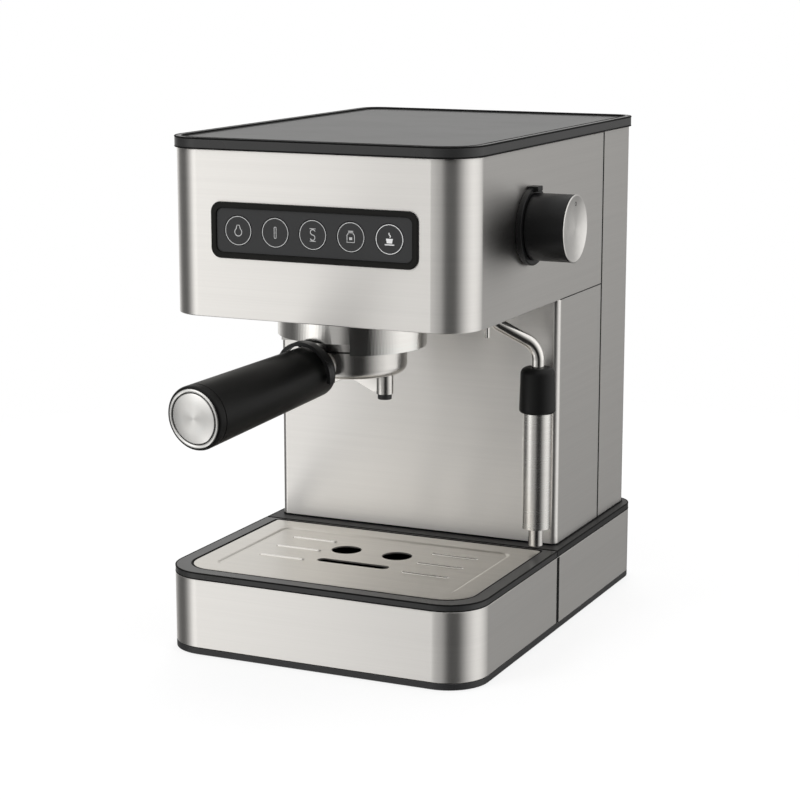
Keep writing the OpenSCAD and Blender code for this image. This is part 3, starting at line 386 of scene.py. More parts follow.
def brush_group():
    """Lines that a belt leaves in steel: fine hairs and wider streaks, drawn out its way."""
    group, given = node_group("brush_lines", "ShaderNodeTree", (
        ("Place", "Vector"), ("Colour", "Color", (0.8, 0.78, 0.76, 1)),
        ("Roughness", "Float", 0.3), ("Contrast", "Float", 0.08)), finish_parts)
    place = given.outputs["Place"]
    hairs = add(group, "ShaderNodeTexNoise", in_Vector=place, in_Scale=1, in_Detail=3,
                in_Roughness=0.65)
    streaks = add(group, "ShaderNodeTexNoise", in_Vector=place, in_Scale=0.16, in_Detail=2,
                  in_Roughness=0.5)
    both = add(group, "ShaderNodeMix", data_type="FLOAT", in_0=0.4, in_2=hairs, in_3=streaks)
    tone = about_one(group, given.outputs["Contrast"], both, 0.35, 0.65)
    shade = add(group, "ShaderNodeVectorMath", operation="SCALE", in_0=given.outputs["Colour"],
                in_Scale=tone)
    dull = add(group, "ShaderNodeMath", operation="MULTIPLY", in_0=given.outputs["Roughness"],
               in_1=tone)
    add(group, "NodeGroupOutput", in_Colour=shade, in_Roughness=dull, in_Height=hairs)
    return group


brush_lines = brush_group()


def metal(name, colour, roughness, lines, contrast=0.08, bump=0.12, brushed=0, tangent="Z",
          **constants):
    """A metal with lines left by its making. lines is how many there are in a metre along X, Y
    and Z, and brushed is how far they draw out its highlights round the tangent's axis."""
    made, tree = material(name)
    place = add(tree, "ShaderNodeTexCoord")
    drawn = add(tree, "ShaderNodeMapping", in_Vector=place.outputs["Object"], in_Scale=lines)
    effect = add(tree, "ShaderNodeGroup", node_tree=brush_lines, in_Place=drawn,
                 in_Colour=(*colour, 1), in_Roughness=roughness, in_Contrast=contrast)
    if brushed:
        along = add(tree, "ShaderNodeTangent", direction_type="RADIAL", axis=tangent)
        constants.update(in_Anisotropic=brushed, in_Anisotropic_Rotation=0.25, in_Tangent=along)
    skin_over(tree, effect, 0.00005, bump, in_Metallic=1, **constants)
    return made


wrap_steel = metal("brushed_wrap_steel", (0.94, 0.922, 0.895), 0.36, (7, 7, 1500), 0.022, 0.05,
                   brushed=0.9)
rim_plastic = moulded("rim_moulding", (0.027, 0.027, 0.0272), 0.3, in_Specular_IOR_Level=0.45)
pan_plastic = moulded("pan_moulding", (0.02, 0.02, 0.021), 0.5)
eased("tray_wrap", wrap_steel, 0.35)
eased("tray_rim", rim_plastic, 0.9, segments=3)
eased("tray_pan", pan_plastic, 0.5)


def arc(cx, cy, r, start, end, n):
    """Points on an arc in n steps. Its ends are in degrees."""
    return [(cx + r * math.cos(math.radians(start + (end - start) * i / n)),
             cy + r * math.sin(math.radians(start + (end - start) * i / n))) for i in range(n + 1)]


def rounded(x0, x1, y0, y1, front_r, rear_r):
    """Points round a plan outline, anticlockwise from its front right corner."""
    steps = 10
    return (arc(x1 - front_r, y0 + front_r, front_r, -90, 0, steps)
            + arc(x1 - rear_r, y1 - rear_r, rear_r, 0, 90, steps)
            + arc(x0 + rear_r, y1 - rear_r, rear_r, 90, 180, steps)
            + arc(x0 + front_r, y0 + front_r, front_r, 180, 270, steps))


def around(low, high, front_r, rear_r, inset, z):
    """The closed plan outline of a box at a height, drawn in by inset."""
    least_r = 0.3 * mm
    outline = rounded(low.x + inset, high.x - inset, low.y + inset, high.y - inset,
                      max(front_r - inset, least_r), max(rear_r - inset, least_r))
    return [(x, y, z) for x, y in outline]


def finished(tree, shape, finish):
    """Ends a Geometry Nodes tree: its shape made real, with its finish."""
    real = add(tree, "GeometryNodeRealizeInstances", in_0=shape)
    coated = add(tree, "GeometryNodeSetMaterial", in_0=real, in_Material=finish)
    add(tree, "NodeGroupOutput", in_Geometry=coated)
    return tree


def grown(name, tree, start=None, **values):
    """The plain mesh that a Geometry Nodes tree makes with these inputs from a start mesh."""
    piece = object_of(name, start or bpy.data.meshes.new(name))
    grow = piece.modifiers.new("grow", "NODES")
    grow.node_group = tree
    named = {item.name: item.identifier for item in tree.interface.items_tree
             if item.item_type == "SOCKET" and item.in_out == "INPUT"}
    for key, value in values.items():
        grow[named[key.replace("_", " ")]] = value
    return baked(piece)


def bead_tree():
    """A round bead along a path of edges."""
    tree, given = node_group("bead_on_path", "GeometryNodeTree", (
        ("Path", "Geometry"), ("Radius", "Float", 0.0004), ("Finish", "Material")),
        (("Geometry", "Geometry"),))
    run = add(tree, "GeometryNodeMeshToCurve", in_0=given.outputs["Path"])
    profile = add(tree, "GeometryNodeCurvePrimitiveCircle", in_Resolution=12,
                  in_Radius=given.outputs["Radius"])
    bead = add(tree, "GeometryNodeCurveToMesh", in_Curve=run, in_Profile_Curve=profile,
               in_Fill_Caps=True)
    return finished(tree, bead, given.outputs["Finish"])


bead_on_path = bead_tree()


def bead(name, points, radius, finish, node, closed=False):
    """A bead through points in metres. It rides with a node's body. radius is in mm."""
    n = len(points)
    path = bpy.data.meshes.new(name + "_path")
    path.from_pydata(points, [(i, (i + 1) % n) for i in range(n if closed else n - 1)], [])
    piece = grown(name, bead_on_path, path, Radius=radius * mm, Finish=finish)
    smoothed(piece.data, 50)
    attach(piece, body_of(node))
    return piece


def front_run(low, high, front_r, inset, z):
    """The plan outline of a box's front and sides at a height, open at the back."""
    x0, x1, y0, y1 = low.x + inset, high.x - inset, low.y + inset, high.y
    outline = rounded(x0, x1, y0, y1, front_r - inset, 0.1 * mm)
    corner = len(outline) // 4
    rear = y1 - 0.4 * mm
    run = [(x0, rear)] + outline[3 * corner:] + outline[:corner] + [(x1, rear)]
    return [(x, y, z) for x, y in run]


def strip(name, x, y0, y1, z0, z1, finish, node):
    """An upright strip in a side face at x, hardly proud of it, with softened edges. It carries the
    painted shade of a seam.
    """
    side = 1 if x > 0 else -1
    root, edge, proud, soft = -0.5 * mm, 0.01 * mm, 0.07 * mm, 0.2 * mm
    outline = [(y0, root), (y0, edge), (y0 + soft, proud), (y1 - soft, proud), (y1, edge),
               (y1, root)]
    work = bmesh.new()
    ends = [[work.verts.new((x + side * out, y, z)) for y, out in outline] for z in (z0, z1)]
    n = len(outline)
    for i in range(n):
        work.faces.new((ends[0][i], ends[0][(i + 1) % n], ends[1][(i + 1) % n], ends[1][i]))
    work.faces.new(ends[0])
    work.faces.new(ends[1])
    piece = object_of(name, mesh_of(name, work), finish)
    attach(piece, body_of(node))
    return piece


base_front_r, edge_in, hem_in = 24.7 * mm, 0.3 * mm, 0.22 * mm
rim_low, rim_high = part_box("tray_rim")
wrap_low, wrap_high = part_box("tray_wrap")
# A near-black, dull finish for thin lines laid along edges, joints, grooves and gaps: painted shade
# where the parts meet or sink.
painted_shade_black = moulded("painted_edge_shade", (0.004, 0.004, 0.004), 0.62, grain=1500,
                     in_Specular_IOR_Level=0.14)
# Painted shade: near-black lines along the rim's top outer edge and along its joint with the steel
# wrap.
for name, z, radius in (("top", rim_high.z - edge_in, 0.5), ("low", rim_low.z + 0.42 * mm, 0.46)):
    bead("rim_edge_" + name, front_run(rim_low, rim_high, base_front_r, edge_in, z), radius,
         painted_shade_black, "tray_rim")
bead("tray_wrap_hem", front_run(wrap_low, wrap_high, base_front_r, hem_in, wrap_high.z - edge_in),
     0.36, wrap_steel, "tray_wrap")

# ---- Drip grille ----
# Pressed from one sheet of stainless steel. The middle is sunk inside a drawn frame, six ribs
# stiffen it, two holes take the fingers and a slot drains it.
plate_steel = metal("brushed_plate_steel", (0.78, 0.755, 0.71), 0.36, (10, 1100, 1100), 0.05, 0.1)
grille_low, grille_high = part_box("drip_grille")
plate_r, plate_rear_r, rim_gap = 18, 2 * mm, 0.85 * mm
# Painted shade: a near-black line in the gap between the rim and the grille.
bead("rim_edge_inner", around(grille_low, grille_high, plate_r * mm, plate_rear_r, -rim_gap,
                              rim_high.z - 0.28 * mm), 0.48, painted_shade_black, "tray_rim", True)
rib_height = 0.8 * mm
plate_top = grille_high.z - rib_height
cuts_x = -2 * mm
hole_y, hole_half, hole_r = -54.5 * mm, 17 * mm, 9.15 * mm
slot_y, slot_half, slot_r = -80.5 * mm, 23.5 * mm, 3.75 * mm
fold_h, sheet_t, sink, frame_in, slope_w = 2.4 * mm, 1.1 * mm, 0.75 * mm, 13 * mm, 2.2 * mm


def circle(cx, cy, r, n):
    """n points round a full circle."""
    return [(cx + r * math.cos(math.tau * i / n), cy + r * math.sin(math.tau * i / n))
            for i in range(n)]


def grille_plate():
    work = bmesh.new()
    x0, x1, y0, y1 = grille_low.x, grille_high.x, grille_low.y, grille_high.y
    # Inset, height and corner radius in mm, from the folded hem in to the sunk middle.
    rings = [(0, plate_top - fold_h, plate_r), (0, plate_top - 0.9 * mm, plate_r),
             (0.25 * mm, plate_top - 0.3 * mm, 17.75), (0.9 * mm, plate_top, 17.1),
             (frame_in, plate_top, 7), (frame_in + 0.35 * slope_w, plate_top - 0.2 * sink, 6.4),
             (frame_in + 0.8 * slope_w, plate_top - 0.92 * sink, 5.4),
             (frame_in + slope_w, plate_top - sink, 5)]
    loops = []
    for inset, z, r in rings:
        rear = max(plate_rear_r - inset, 0.5 * mm) if inset < frame_in else r * mm
        loops.append([work.verts.new((x, y, z)) for x, y in
                      rounded(x0 + inset, x1 - inset, y0 + inset, y1 - inset, r * mm, rear)])
    n = len(loops[0])
    for a, b in zip(loops, loops[1:]):
        for i in range(n):
            work.faces.new((a[i], a[(i + 1) % n], b[(i + 1) % n], b[i]))
    edges = [work.edges.get((loops[-1][i], loops[-1][(i + 1) % n])) for i in range(n)]
    z = plate_top - sink
    cuts = [circle(side * hole_half + cuts_x, hole_y, hole_r, 40) for side in (-1, 1)]
    slot_end = slot_half - slot_r
    cuts.append(arc(slot_end + cuts_x, slot_y, slot_r, -90, 90, 12)
                + arc(-slot_end + cuts_x, slot_y, slot_r, 90, 270, 12))
    for cut in cuts:
        ring = [work.verts.new((x, y, z)) for x, y in cut]
        edges += [work.edges.new((ring[i], ring[(i + 1) % len(ring)])) for i in range(len(ring))]
    bmesh.ops.triangle_fill(work, use_beauty=True, use_dissolve=True, edges=edges)
    return mesh_of("grille_plate", work)


grille = object_of("grille_plate", grille_plate(), plate_steel)
smoothed(grille.data, 40)
if sum(face.normal.z * face.area for face in grille.data.polygons) < 0:
    grille.data.flip_normals()
sheet = grille.modifiers.new("sheet", "SOLIDIFY")
sheet.thickness = sheet_t
sheet.offset = -1
lips = grille.modifiers.new("lips", "BEVEL")
lips.width = 0.25 * mm
lips.segments = 2
lips.limit_method = "ANGLE"
lips.angle_limit = math.radians(40)
level = grille.modifiers.new("level", "WEIGHTED_NORMAL")
level.keep_sharp = True
baked(grille)
placed(grille, "drip_grille")


def rib_tree():
    """Pressed ribs: a flattened bead with round ends, set out in rows and in two columns."""
    tree, given = node_group("grille_ribs", "GeometryNodeTree", (
        ("Rows", "Int", 3), ("Row pitch", "Float", 0.022), ("First row", "Float", -0.0855),
        ("Column", "Float", 0.0473), ("Length", "Float", 0.031), ("Width", "Float", 0.0026),
        ("Height", "Float", 0.0008), ("Level", "Float", 0.05), ("Finish", "Material")),
        (("Geometry", "Geometry"),))

    def sum_of(operation, *values):
        entries = {"in_%d" % i: value for i, value in enumerate(values)}
        return add(tree, "ShaderNodeMath", operation=operation, **entries)

    half = sum_of("MULTIPLY", given.outputs["Length"], 0.5)
    minus = sum_of("MULTIPLY", given.outputs["Length"], -0.5)
    run = add(tree, "GeometryNodeCurvePrimitiveLine",
              in_Start=add(tree, "ShaderNodeCombineXYZ", in_X=minus),
              in_End=add(tree, "ShaderNodeCombineXYZ", in_X=half))
    fine = add(tree, "GeometryNodeResampleCurve", in_0=run, in_Count=90)
    along = add(tree, "GeometryNodeSplineParameter")
    taper = add(tree, "ShaderNodeFloatCurve", in_Value=along.outputs["Factor"])
    curve = taper.mapping.curves[0]
    curve.points[0].location, curve.points[1].location = (0, 0.02), (1, 0.02)
    for place, width in ((0.008, 0.4), (0.025, 0.8), (0.05, 1), (0.95, 1), (0.975, 0.8),
                         (0.992, 0.4)):
        curve.points.new(place, width)
    taper.mapping.update()
    wide = sum_of("MULTIPLY", given.outputs["Width"], 0.5)
    profile = add(tree, "GeometryNodeCurvePrimitiveCircle", in_Resolution=16, in_Radius=wide)
    bead = add(tree, "GeometryNodeCurveToMesh", in_Curve=fine, in_Profile_Curve=profile,
               in_Scale=taper, in_Fill_Caps=True)
    squash = sum_of("DIVIDE", given.outputs["Height"], wide)
    flat = add(tree, "ShaderNodeCombineXYZ", in_X=1, in_Y=1, in_Z=squash)
    low = add(tree, "GeometryNodeTransform", in_Geometry=bead, in_Scale=flat)
    index = add(tree, "GeometryNodeInputIndex")
    side = sum_of("MODULO", index, 2)
    signed = add(tree, "ShaderNodeMapRange", in_Value=side, in_To_Min=-1, in_To_Max=1)
    x = sum_of("MULTIPLY", signed, given.outputs["Column"])
    row = sum_of("FLOOR", sum_of("MULTIPLY", index, 0.5))
    y = sum_of("MULTIPLY_ADD", row, given.outputs["Row pitch"], given.outputs["First row"])
    spot = add(tree, "ShaderNodeCombineXYZ", in_X=x, in_Y=y, in_Z=given.outputs["Level"])
    spots = add(tree, "GeometryNodePoints", in_Count=sum_of("MULTIPLY", given.outputs["Rows"], 2),
                in_Position=spot)
    ribs = add(tree, "GeometryNodeInstanceOnPoints", in_Points=spots, in_Instance=low)
    return finished(tree, ribs, given.outputs["Finish"])


rib_steel = metal("worn_rib_steel", (0.86, 0.84, 0.8), 0.26, (10, 1100, 1100), 0.04, 0.06)
ribs = grown("grille_ribs", rib_tree(), Rows=3, Row_pitch=22 * mm, First_row=-85.5 * mm,
             Column=47.3 * mm, Length=31 * mm, Width=2.6 * mm, Height=rib_height,
             Level=plate_top - sink, Finish=rib_steel)
smoothed(ribs.data, 50)
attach(ribs, "grille")

# ---- Base deck and rear wrap ----
# The black deck closes the base round the column's foot and behind the tray. The rear of the base
# has its own steel wrap, with the cord's gland in its back.
deck_plastic = moulded("deck_moulding", (0.02, 0.02, 0.02), 0.46, in_Specular_IOR_Level=0.22)
eased("base_deck", deck_plastic, 0.9, segments=3)
eased("rear_base_wrap", wrap_steel, 0.35)
base_low, base_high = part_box("rear_base_wrap")
# Painted shade: near-black strips in the seams where the tray meets the rear wrap.
for side, name in ((1, "right"), (-1, "left")):
    strip("tray_seam_" + name, side * base_high.x, base_low.y - 0.1 * mm, base_low.y + 3.4 * mm,
          base_low.z + 0.2 * mm, base_high.z - 0.2 * mm, painted_shade_black, "rear_base_wrap")
deck_low, deck_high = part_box("base_deck")
deck_rear_r = 16 * mm
# Painted shade: near-black lines along the deck's top edge and along its joint with the rear wrap.
for name, z in (("top", deck_high.z - edge_in), ("low", base_high.z + 0.42 * mm)):
    bead("deck_edge_" + name, around(deck_low, deck_high, edge_in, deck_rear_r, edge_in, z), 0.48,
         painted_shade_black, "base_deck", True)
eased("cord_gland", black_plastic, 0.4)

# ---- Column, head and rear shell ----
# Folded from brushed stainless sheet. The belt ran level round them, so the hairs lie level
# on the fronts and the sides, and the folded corners catch upright bands of light.
eased("column_wrap", wrap_steel, 0.35)
eased("head_shell", wrap_steel, 0.45)
eased("rear_shell", wrap_steel, 0.35)
eased("head_floor", black_plastic, 0.4)
head_low, head_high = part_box("head_shell")
rear_low, rear_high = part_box("rear_shell")
column_low, column_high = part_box("column_wrap")
head_front_r = 22 * mm
bead("head_hem", front_run(head_low, head_high, head_front_r, hem_in, head_high.z - edge_in), 0.36,
     wrap_steel, "head_shell")
# Painted shade in the seams: dark beads along the sides where the head meets the column, and
# near-black strips where the head meets the rear shell.
painted_seam_shade = moulded("painted_seam_shade", (0.012, 0.012, 0.012), 0.6, grain=1500,
                    in_Specular_IOR_Level=0.25)
seam_y, seam_half = (head_high.y + rear_low.y) / 2, 1.1 * mm
head_seam_z = (head_low.z + column_high.z) / 2
for side, name in ((1, "right"), (-1, "left")):
    strip("rear_seam_" + name, side * head_high.x, seam_y - seam_half, seam_y + seam_half,
          rear_low.z + 0.4 * mm, rear_high.z - 0.4 * mm, painted_shade_black, "rear_shell")
    flush = side * (head_high.x - 0.42 * mm)
    bead("head_seam_" + name, [(flush, y, head_seam_z) for y in (column_low.y + 3 * mm, seam_y)],
         0.5, painted_seam_shade, "column_wrap")
column_r, shell_r = 4 * mm, 12 * mm
foot_low = Vector((column_low.x, column_low.y, 0))
foot_high = Vector((column_high.x, rear_high.y, 0))
# Painted shade: a near-black line where the column's wrap stands on the deck.
bead("wrap_foot", around(foot_low, foot_high, column_r, shell_r, -0.1 * mm,
                         column_low.z + 0.45 * mm), 0.5, painted_shade_black, "base_deck", True)
bay_plastic = moulded("bay_moulding", (0.03, 0.03, 0.031), 0.5)
eased("tank_bay", bay_plastic, 0.5)

# ---- Lid ----
# A black frame round the top holds the cup plate, a satin-coated sheet that warms cups.
cup_plate_coat = moulded("cup_plate_coat", (0.084, 0.084, 0.0835), 0.5, grain=1900, clouds=0.06,
                         bump=0.1, in_Specular_IOR_Level=0.27)
eased("lid_frame", rim_plastic, 1.1, segments=3)
eased("cup_plate", cup_plate_coat, 0.25)
lid_low, lid_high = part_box("lid_frame")
lid_front_r, lid_rear_r = 23.3 * mm, 13.3 * mm
# Painted shade: near-black lines along the frame's top edge, low on its side, and in the gap round
# the cup plate.
for name, inset, depth, radius in (("top", 0.35, 0.35, 0.55), ("low", 0.3, 6, 0.46),
                                   ("inner", 4.3, 0.25, 0.5)):
    bead("lid_edge_" + name, around(lid_low, lid_high, lid_front_r, lid_rear_r, inset * mm,
                                    lid_high.z - depth * mm), radius, painted_shade_black, "lid_frame", True)

# ---- Control panel ----
# A black bezel is clipped through the head's front. Five round buttons stand in its plate,
# each printed with a thin ring and a plain sign.
bezel_plastic = moulded("bezel_moulding", (0.012, 0.0118, 0.011), 0.4, in_Specular_IOR_Level=0.1)
panel_plastic = moulded("panel_moulding", (0.026, 0.0265, 0.0275), 0.5, grain=2200, clouds=0.05)
button_plastic = moulded("button_moulding", (0.024, 0.0245, 0.0255), 0.46, grain=2200, clouds=0.05)
print_ink = moulded("print_ink", (0.56, 0.56, 0.56), 0.5, grain=3000, clouds=0.06, bump=0.05)
white_ink = moulded("white_ink", (0.8, 0.8, 0.8), 0.5, grain=3000, clouds=0.06, bump=0.05)
eased("panel_bezel", bezel_plastic, 0.55, segments=3)
eased("panel_plate", panel_plastic, 0.3)
bezel_low, bezel_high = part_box("panel_bezel")
line_y = bezel_low.y + 0.12 * mm
for name, inset, corner, radius in (("inner", 3.1 * mm, 4.2 * mm, 0.26),
                                    ("outer", 0.5 * mm, 6.8 * mm, 0.22)):
    outline = rounded(bezel_low.x + inset, bezel_high.x - inset, bezel_low.z + inset,
                      bezel_high.z - inset, corner, corner)
    bead("bezel_line_" + name, [(x, line_y, z) for x, z in outline], radius, bezel_plastic,
         "panel_bezel", True)


def line(points, width, closed):
    """Faces of a flat printed line through points on a button, in mm from its centre."""
    n = len(points)
    verts, faces = [], []
    for i, (x, z) in enumerate(points):
        before = points[i - 1] if closed or i > 0 else points[i]
        after = points[(i + 1) % n] if closed or i < n - 1 else points[i]
        step = Vector((after[0] - before[0], after[1] - before[1])).normalized()
        side = Vector((-step.y, step.x)) * width / 2
        verts += [(x + side.x, z + side.y), (x - side.x, z - side.y)]
    for i in range(n if closed else n - 1):
        a, b = 2 * i, 2 * ((i + 1) % n)
        faces.append((a, a + 1, b + 1, b))
    return verts, faces


def fan(points):
    return list(points), [tuple(range(len(points)))]


ring_r, ring_w, ring_points, sign_w, thin_w = 8.1, 0.38, 72, 0.42, 0.34
signs = {
    1: [line(arc(0, -0.8, 2.25, 126, 414, 24)
             + [(1.05, 2.0), (0.85, 3.1), (-0.85, 3.1), (-1.05, 2.0)], sign_w, True)],
    2: [line(arc(0, 2.6, 0.62, 0, 180, 10) + arc(0, -2.6, 0.62, 180, 360, 10), thin_w, True)],
    3: [line(arc(0.1, 1.5, 1.5, 20, 250, 18) + arc(-0.1, -1.5, 1.5, 70, -160, 18), sign_w, False),
        line([(-1.9, 3.5), (1.9, 3.5)], thin_w, False),
        line([(-1.9, -3.5), (1.9, -3.5)], thin_w, False)],
    4: [line([(-2.3, -2.9), (2.3, -2.9), (2.3, 1.1), (1.5, 2), (1.5, 2.5), (-1.5, 2.5), (-1.5, 2),
              (-2.3, 1.1)], sign_w, True),
        line([(-1.5, 3.3), (1.5, 3.3)], 0.5, False), line([(-0.9, -0.8), (0.9, -0.8)], 1.5, False)],
    5: [fan([(-2.1, 0.4), (-1.6, -2.2), (1.6, -2.2), (2.1, 0.4)]),
        fan([(-2.9, -2.7), (2.9, -2.7), (2.9, -3.3), (-2.9, -3.3)]),
        line(arc(-0.2, 1.7, 0.75, -60, 60, 8) + arc(0.4, 3.0, 0.7, 240, 120, 8), 0.5, False)],
}


def button_print(i):
    low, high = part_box("button_%d" % i)
    film_t = 0.03 * mm
    face_y = low.y - film_t
    centre = (low + high) / 2
    ring = arc(0, 0, ring_r, 0, 360 * (ring_points - 1) / ring_points, ring_points - 1)
    verts, faces = [], []
    for some, ends in [line(ring, ring_w, True)] + signs[i]:
        base = len(verts)
        verts += some
        faces += [tuple(v + base for v in face) for face in ends]
    mesh = bpy.data.meshes.new("button_print_%d" % i)
    mesh.from_pydata([(centre.x + x * mm, face_y, centre.z + z * mm) for x, z in verts], [], faces)
    piece = object_of("button_print_%d" % i, mesh, white_ink if i == 5 else print_ink)
    work = bmesh.new()
    work.from_mesh(mesh)
    for face in work.faces:
        face.normal_update()
        if face.normal.y > 0:
            face.normal_flip()
    work.to_mesh(mesh)
    work.free()
    film = piece.modifiers.new("film", "SOLIDIFY")
    film.thickness, film.offset = film_t, -1
    baked(piece)
    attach(piece, body_of("button_%d" % i))


for number in range(1, 6):
    eased("button_%d" % number, button_plastic, 0.3)
    button_print(number)

# ---- Steam knob ----
# A black moulded knob on the valve's spindle, with a satin steel cap let into its end
# and a drilled mark near the cap's top. A black ring with a stop lug stands behind it.
knob_plastic = moulded("knob_moulding", (0.007, 0.007, 0.0073), 0.36, clouds=0.08,
                       in_Specular_IOR_Level=0.28)
cap_steel = metal("spun_knob_cap", (0.93, 0.915, 0.89), 0.36, (60, 1500, 1500), 0.04, 0.08,
                  brushed=0.35, tangent="X")
eased("knob_ring", knob_plastic, 0.5)
eased("steam_knob", knob_plastic, 0.7, segments=3)


def turned(name, origin, axis, profile, finish, turns=96, sharp=35):
    """A turned piece. profile is its distances along the axis and radii in mm, and 0 is a pole."""
    origin, axis = Vector(origin), Vector(axis).normalized()
    u = axis.orthogonal().normalized()
    v = axis.cross(u)
    work = bmesh.new()
    rings = []
    for s, r in profile:
        if r == 0:
            rings.append([work.verts.new(origin + axis * s * mm)])
        else:
            rings.append([work.verts.new(origin + axis * s * mm + (u * c + v * d) * r * mm)
                          for c, d in circle(0, 0, 1, turns)])
    for a, b in zip(rings, rings[1:]):
        for i in range(turns):
            j = (i + 1) % turns
            corners = [a[i % len(a)], a[j % len(a)], b[j % len(b)], b[i % len(b)]]
            work.faces.new(list(dict.fromkeys(corners)))
    mesh = mesh_of(name, work)
    smoothed(mesh, sharp)
    return object_of(name, mesh, finish)


knob_low, knob_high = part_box("knob_cap")
knob_at = (0, (knob_low.y + knob_high.y) / 2, (knob_low.z + knob_high.z) / 2)
cap_face, cap_r = knob_high.x / mm, (knob_high.z - knob_low.z) / 2 / mm
cap = turned("knob_cap_disc", knob_at, (1, 0, 0),
             [(knob_low.x / mm, 0), (knob_low.x / mm, cap_r), (cap_face + 0.05, cap_r),
              (cap_face + 0.05, cap_r + 0.9), (cap_face + 0.35, cap_r + 1.15),
              (cap_face + 0.6, cap_r + 0.85), (cap_face + 0.65, cap_r + 0.3),
              (cap_face + 0.5, cap_r), (cap_face + 0.45, 0)], cap_steel)
placed(cap, "knob_cap")
mark = turned("knob_mark", (0, knob_at[1], knob_at[2] + (cap_r - 4.2) * mm), (1, 0, 0),
              [(cap_face + 0.2, 0), (cap_face + 0.2, 1.25), (cap_face + 0.52, 1.25),
               (cap_face + 0.52, 0.8), (cap_face + 0.47, 0.7), (cap_face + 0.47, 0)],
              knob_plastic, 32)
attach(mark, "knob")
spindle_steel = metal("spindle_steel", (0.6, 0.59, 0.58), 0.3, (900, 40, 40), 0.08)
eased("valve_spindle", spindle_steel, 0.3)

# ---- Group collar and brew head ----
# The collar is cast and polished, and takes the portafilter's lugs from below.
# Above it the brew head, its gasket and the shower screen close the boiler.
collar_metal = metal("polished_collar", (1, 0.98, 0.95), 0.16, (12, 12, 900), 0.03, 0.05,
                     brushed=0.4)
cast_metal = metal("cast_brew_head", (0.52, 0.51, 0.5), 0.42, (500, 500, 500), 0.1, 0.3)
gasket_rubber = moulded("gasket_rubber", (0.17, 0.035, 0.02), 0.62, grain=1200, bump=0.2)
screen_steel = metal("screen_steel", (0.68, 0.67, 0.65), 0.25, (700, 700, 700), 0.05)
eased("group_collar", collar_metal, 1.0, segments=3)
eased("group_head", cast_metal, 0.4)
eased("brew_gasket", gasket_rubber, 0.3)
dressed("shower_screen", screen_steel)
eased("shower_screw", screen_steel, 0.2)

# ---- Portafilter ----
# A cast and chromed bowl holds the filter basket and a double spout. The handle's steel stud
# carries a black moulded grip, with a spun steel disc in its end.
bowl_metal = metal("satin_bowl", (0.92, 0.9, 0.87), 0.26, (12, 12, 900), 0.04, 0.06, brushed=0.4)
basket_steel = metal("basket_steel", (0.66, 0.65, 0.63), 0.22, (20, 20, 900), 0.04)
bowl = eased("portafilter_bowl", bowl_metal, 0.5)
eased("filter_basket", basket_steel, 0.2)
eased("spout", bowl_metal, 0.5)
eased("spout_tips", black_plastic, 0.3)
stud_steel = metal("turned_stud", (1, 0.98, 0.95), 0.6, (12, 900, 12), 0.05, 0.06)
eased("handle_stud", stud_steel, 0.3)
bowl.data.materials.append(stud_steel)
group_y, bowl_r, boss_y, gap_z = -84 * mm, 32.3 * mm, -110 * mm, 183.75 * mm
for face in bowl.data.polygons:
    if face.center.y < boss_y and math.hypot(face.center.x, face.center.y - group_y) > bowl_r:
        face.material_index = 1
# Painted shadow: a near-black ring in the gap under the collar, round the bowl's top.
bead("bowl_gap", [(x, y, gap_z) for x, y in circle(0, group_y, bowl_r, 96)], 0.42, painted_shade_black,
     "portafilter_bowl", True)

cap_low, cap_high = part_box("handle_cap")
end = (cap_low + cap_high) / 2
handle_turn, handle_drop, handle_len, disc_sink = math.radians(8), math.radians(4.4), 151, 0.9
handle_axis = Vector((-math.sin(handle_turn) * math.cos(handle_drop),
                      -math.cos(handle_turn) * math.cos(handle_drop), -math.sin(handle_drop)))
handle_from = end - handle_axis * (handle_len - disc_sink) * mm
grip_plastic = moulded("grip_moulding", (0.003, 0.003, 0.0028), 0.4, grain=2400, clouds=0.08,
                       in_Specular_IOR_Level=0.2)
disc_steel = metal("spun_disc", (1, 0.99, 0.97), 0.25, (1500, 60, 1500), 0.03, 0.06, brushed=0.85,
                   tangent="Y")


def grip_r(s):
    """The grip's radius, which widens from its root to its end."""
    return 14.9 + 3 * (s - 32) / 119


grip = turned("handle_grip_body", handle_from, handle_axis,
              [(34.7, 0), (34.7, 10.3), (35.1, 10.8), (38.2, 14.0), (39.2, 14.7), (41, grip_r(41)),
               (90, grip_r(90)), (144.9, grip_r(145)), (145.1, grip_r(145) - 0.3),
               (145.6, grip_r(145) - 0.3), (145.8, grip_r(146)), (149.4, 17.85), (150.3, 17.6),
               (150.9, 17.15), (151.15, 16.7), (151.05, 16.5), (150.2, 16.45), (150.2, 0)],
              grip_plastic, 96, 40)
placed(grip, "handle_grip")
disc = turned("handle_disc", handle_from, handle_axis,
              [(149.9, 0), (149.9, 16.4), (150.95, 16.4), (151.3, 16.2), (151.45, 15.8),
               (151.42, 14.95), (151.2, 14.6), (150.8, 14.4), (150.8, 14.05), (151.15, 13.85),
               (151.25, 13.4), (151.35, 8), (151.4, 0)], disc_steel, 128, 50)
placed(disc, "handle_cap")
across = handle_axis.cross(Vector((0, 0, 1))).normalized()
upward = across.cross(handle_axis)
groove_at, groove_r = handle_from + handle_axis * 150.98 * mm, 14.2
# Painted shade: a near-black ring lying in the groove round the disc's face.
bead("disc_groove", [groove_at + (across * c + upward * d) * groove_r * mm
                     for c, d in circle(0, 0, 1, 120)], 0.17, painted_shade_black, "handle_cap", True)
clip_plastic = moulded("clip_moulding", (0.008, 0.008, 0.008), 0.3, in_Specular_IOR_Level=0.35)
eased("basket_clip", clip_plastic, 0.5, segments=3)

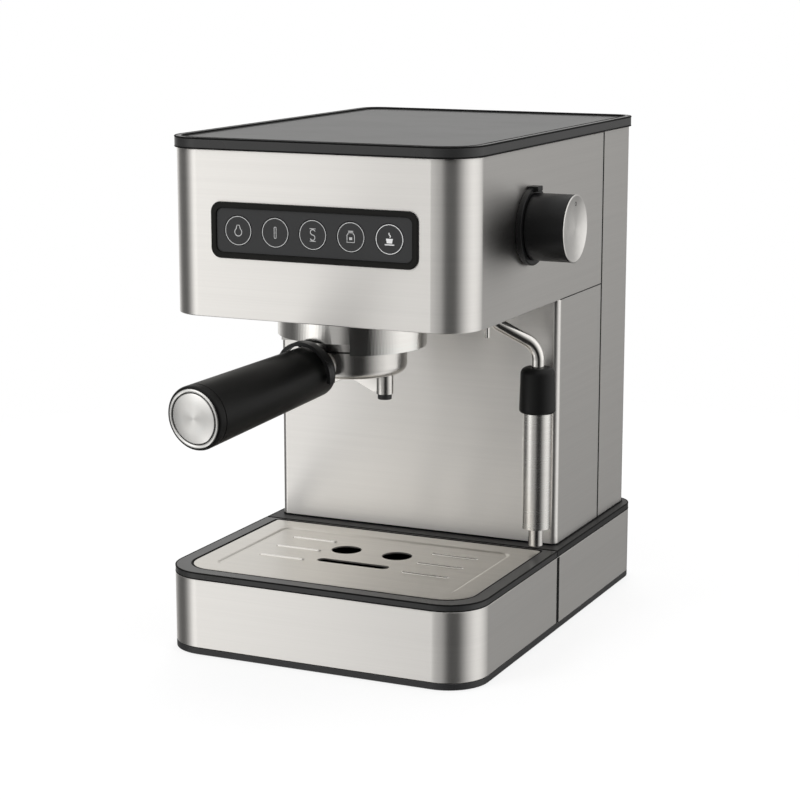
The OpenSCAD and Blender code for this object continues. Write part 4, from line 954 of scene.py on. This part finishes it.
# ---- Steam wand ----
# A bent stainless tube turns in its nut under the head. It ends in a drilled tip, and a black grip
# and a steel froth sleeve slide over it. A thin relief nozzle stands beside the group.
tube_steel = metal("polished_tube", (0.95, 0.93, 0.9), 0.16, (40, 40, 700), 0.02, 0.03)
sleeve_steel = metal("sleeve_steel", (1, 0.98, 0.95), 0.27, (14, 14, 1100), 0.03, 0.05)
wand_grip_plastic = moulded("wand_grip_moulding", (0.007, 0.007, 0.007), 0.42,
                            in_Specular_IOR_Level=0.28)
eased("wand_nut", collar_metal, 0.4)
dressed("wand_tube", tube_steel)
eased("wand_grip", wand_grip_plastic, 0.3)
eased("froth_sleeve", sleeve_steel, 0.35)
eased("steam_tip", tube_steel, 0.4)
eased("relief_nozzle", tube_steel, 0.2)

# ---- Water tank ----
# A smoked clear tank stands in its bay behind the boiler and comes out to the back. A white valve
# in its foot opens on the seat in the bay.


def smoked(name, colour):
    """A smoked clear plastic."""
    made, tree = material(name)
    effect = add(tree, "ShaderNodeGroup", node_tree=moulding_grain, in_Colour=(*colour, 1),
                 in_Shine=0.09, in_Grain=900, in_Clouds=0.06)
    skin = add(tree, "ShaderNodeBsdfPrincipled", in_Base_Color=effect.outputs["Colour"],
               in_Roughness=effect.outputs["Roughness"], in_Transmission_Weight=0.85, in_IOR=1.49)
    add(tree, "ShaderNodeOutputMaterial", in_0=skin)
    return made


tank_smoke = smoked("smoked_tank", (0.36, 0.37, 0.38))
valve_plastic = moulded("valve_moulding", (0.62, 0.62, 0.6), 0.45)
eased("water_tank", tank_smoke, 0.5)
eased("tank_lid", black_plastic, 0.5)
eased("tank_valve", valve_plastic, 0.3)
eased("tank_seat", valve_plastic, 0.3)

# ---- Inside the machine ----
# The boiler with its screws and cut-outs, the steam valve and its pipes, the pump with its hoses,
# and the two circuit boards. The screws of the plinth are plated like the boiler's.
boiler_steel = metal("spun_boiler_steel", (0.6, 0.6, 0.6), 0.28, (20, 20, 700), 0.06)
screw_steel = metal("plated_screw_steel", (0.48, 0.48, 0.48), 0.32, (400, 400, 400), 0.1)
brass = metal("valve_brass", (0.62, 0.45, 0.2), 0.3, (300, 300, 300), 0.1)
copper = metal("steam_pipe_copper", (0.7, 0.42, 0.24), 0.26, (200, 200, 200), 0.1)
cut_out_plastic = moulded("cut_out_moulding", (0.04, 0.04, 0.045), 0.5)
pump_paint = moulded("pump_moulding", (0.05, 0.09, 0.13), 0.5)
hose_silicone = moulded("hose_silicone", (0.68, 0.67, 0.63), 0.5, grain=900)
board_green = moulded("board_lacquer", (0.03, 0.15, 0.06), 0.35, grain=700, clouds=0.3)
for node, finish in (("boiler", boiler_steel), ("boiler_screws", screw_steel),
                     ("floor_screws", screw_steel), ("thermostats", cut_out_plastic),
                     ("steam_valve", brass), ("steam_pipes", copper), ("pump", pump_paint),
                     ("hoses", hose_silicone), ("power_board", board_green),
                     ("control_board", board_green)):
    dressed(node, finish)
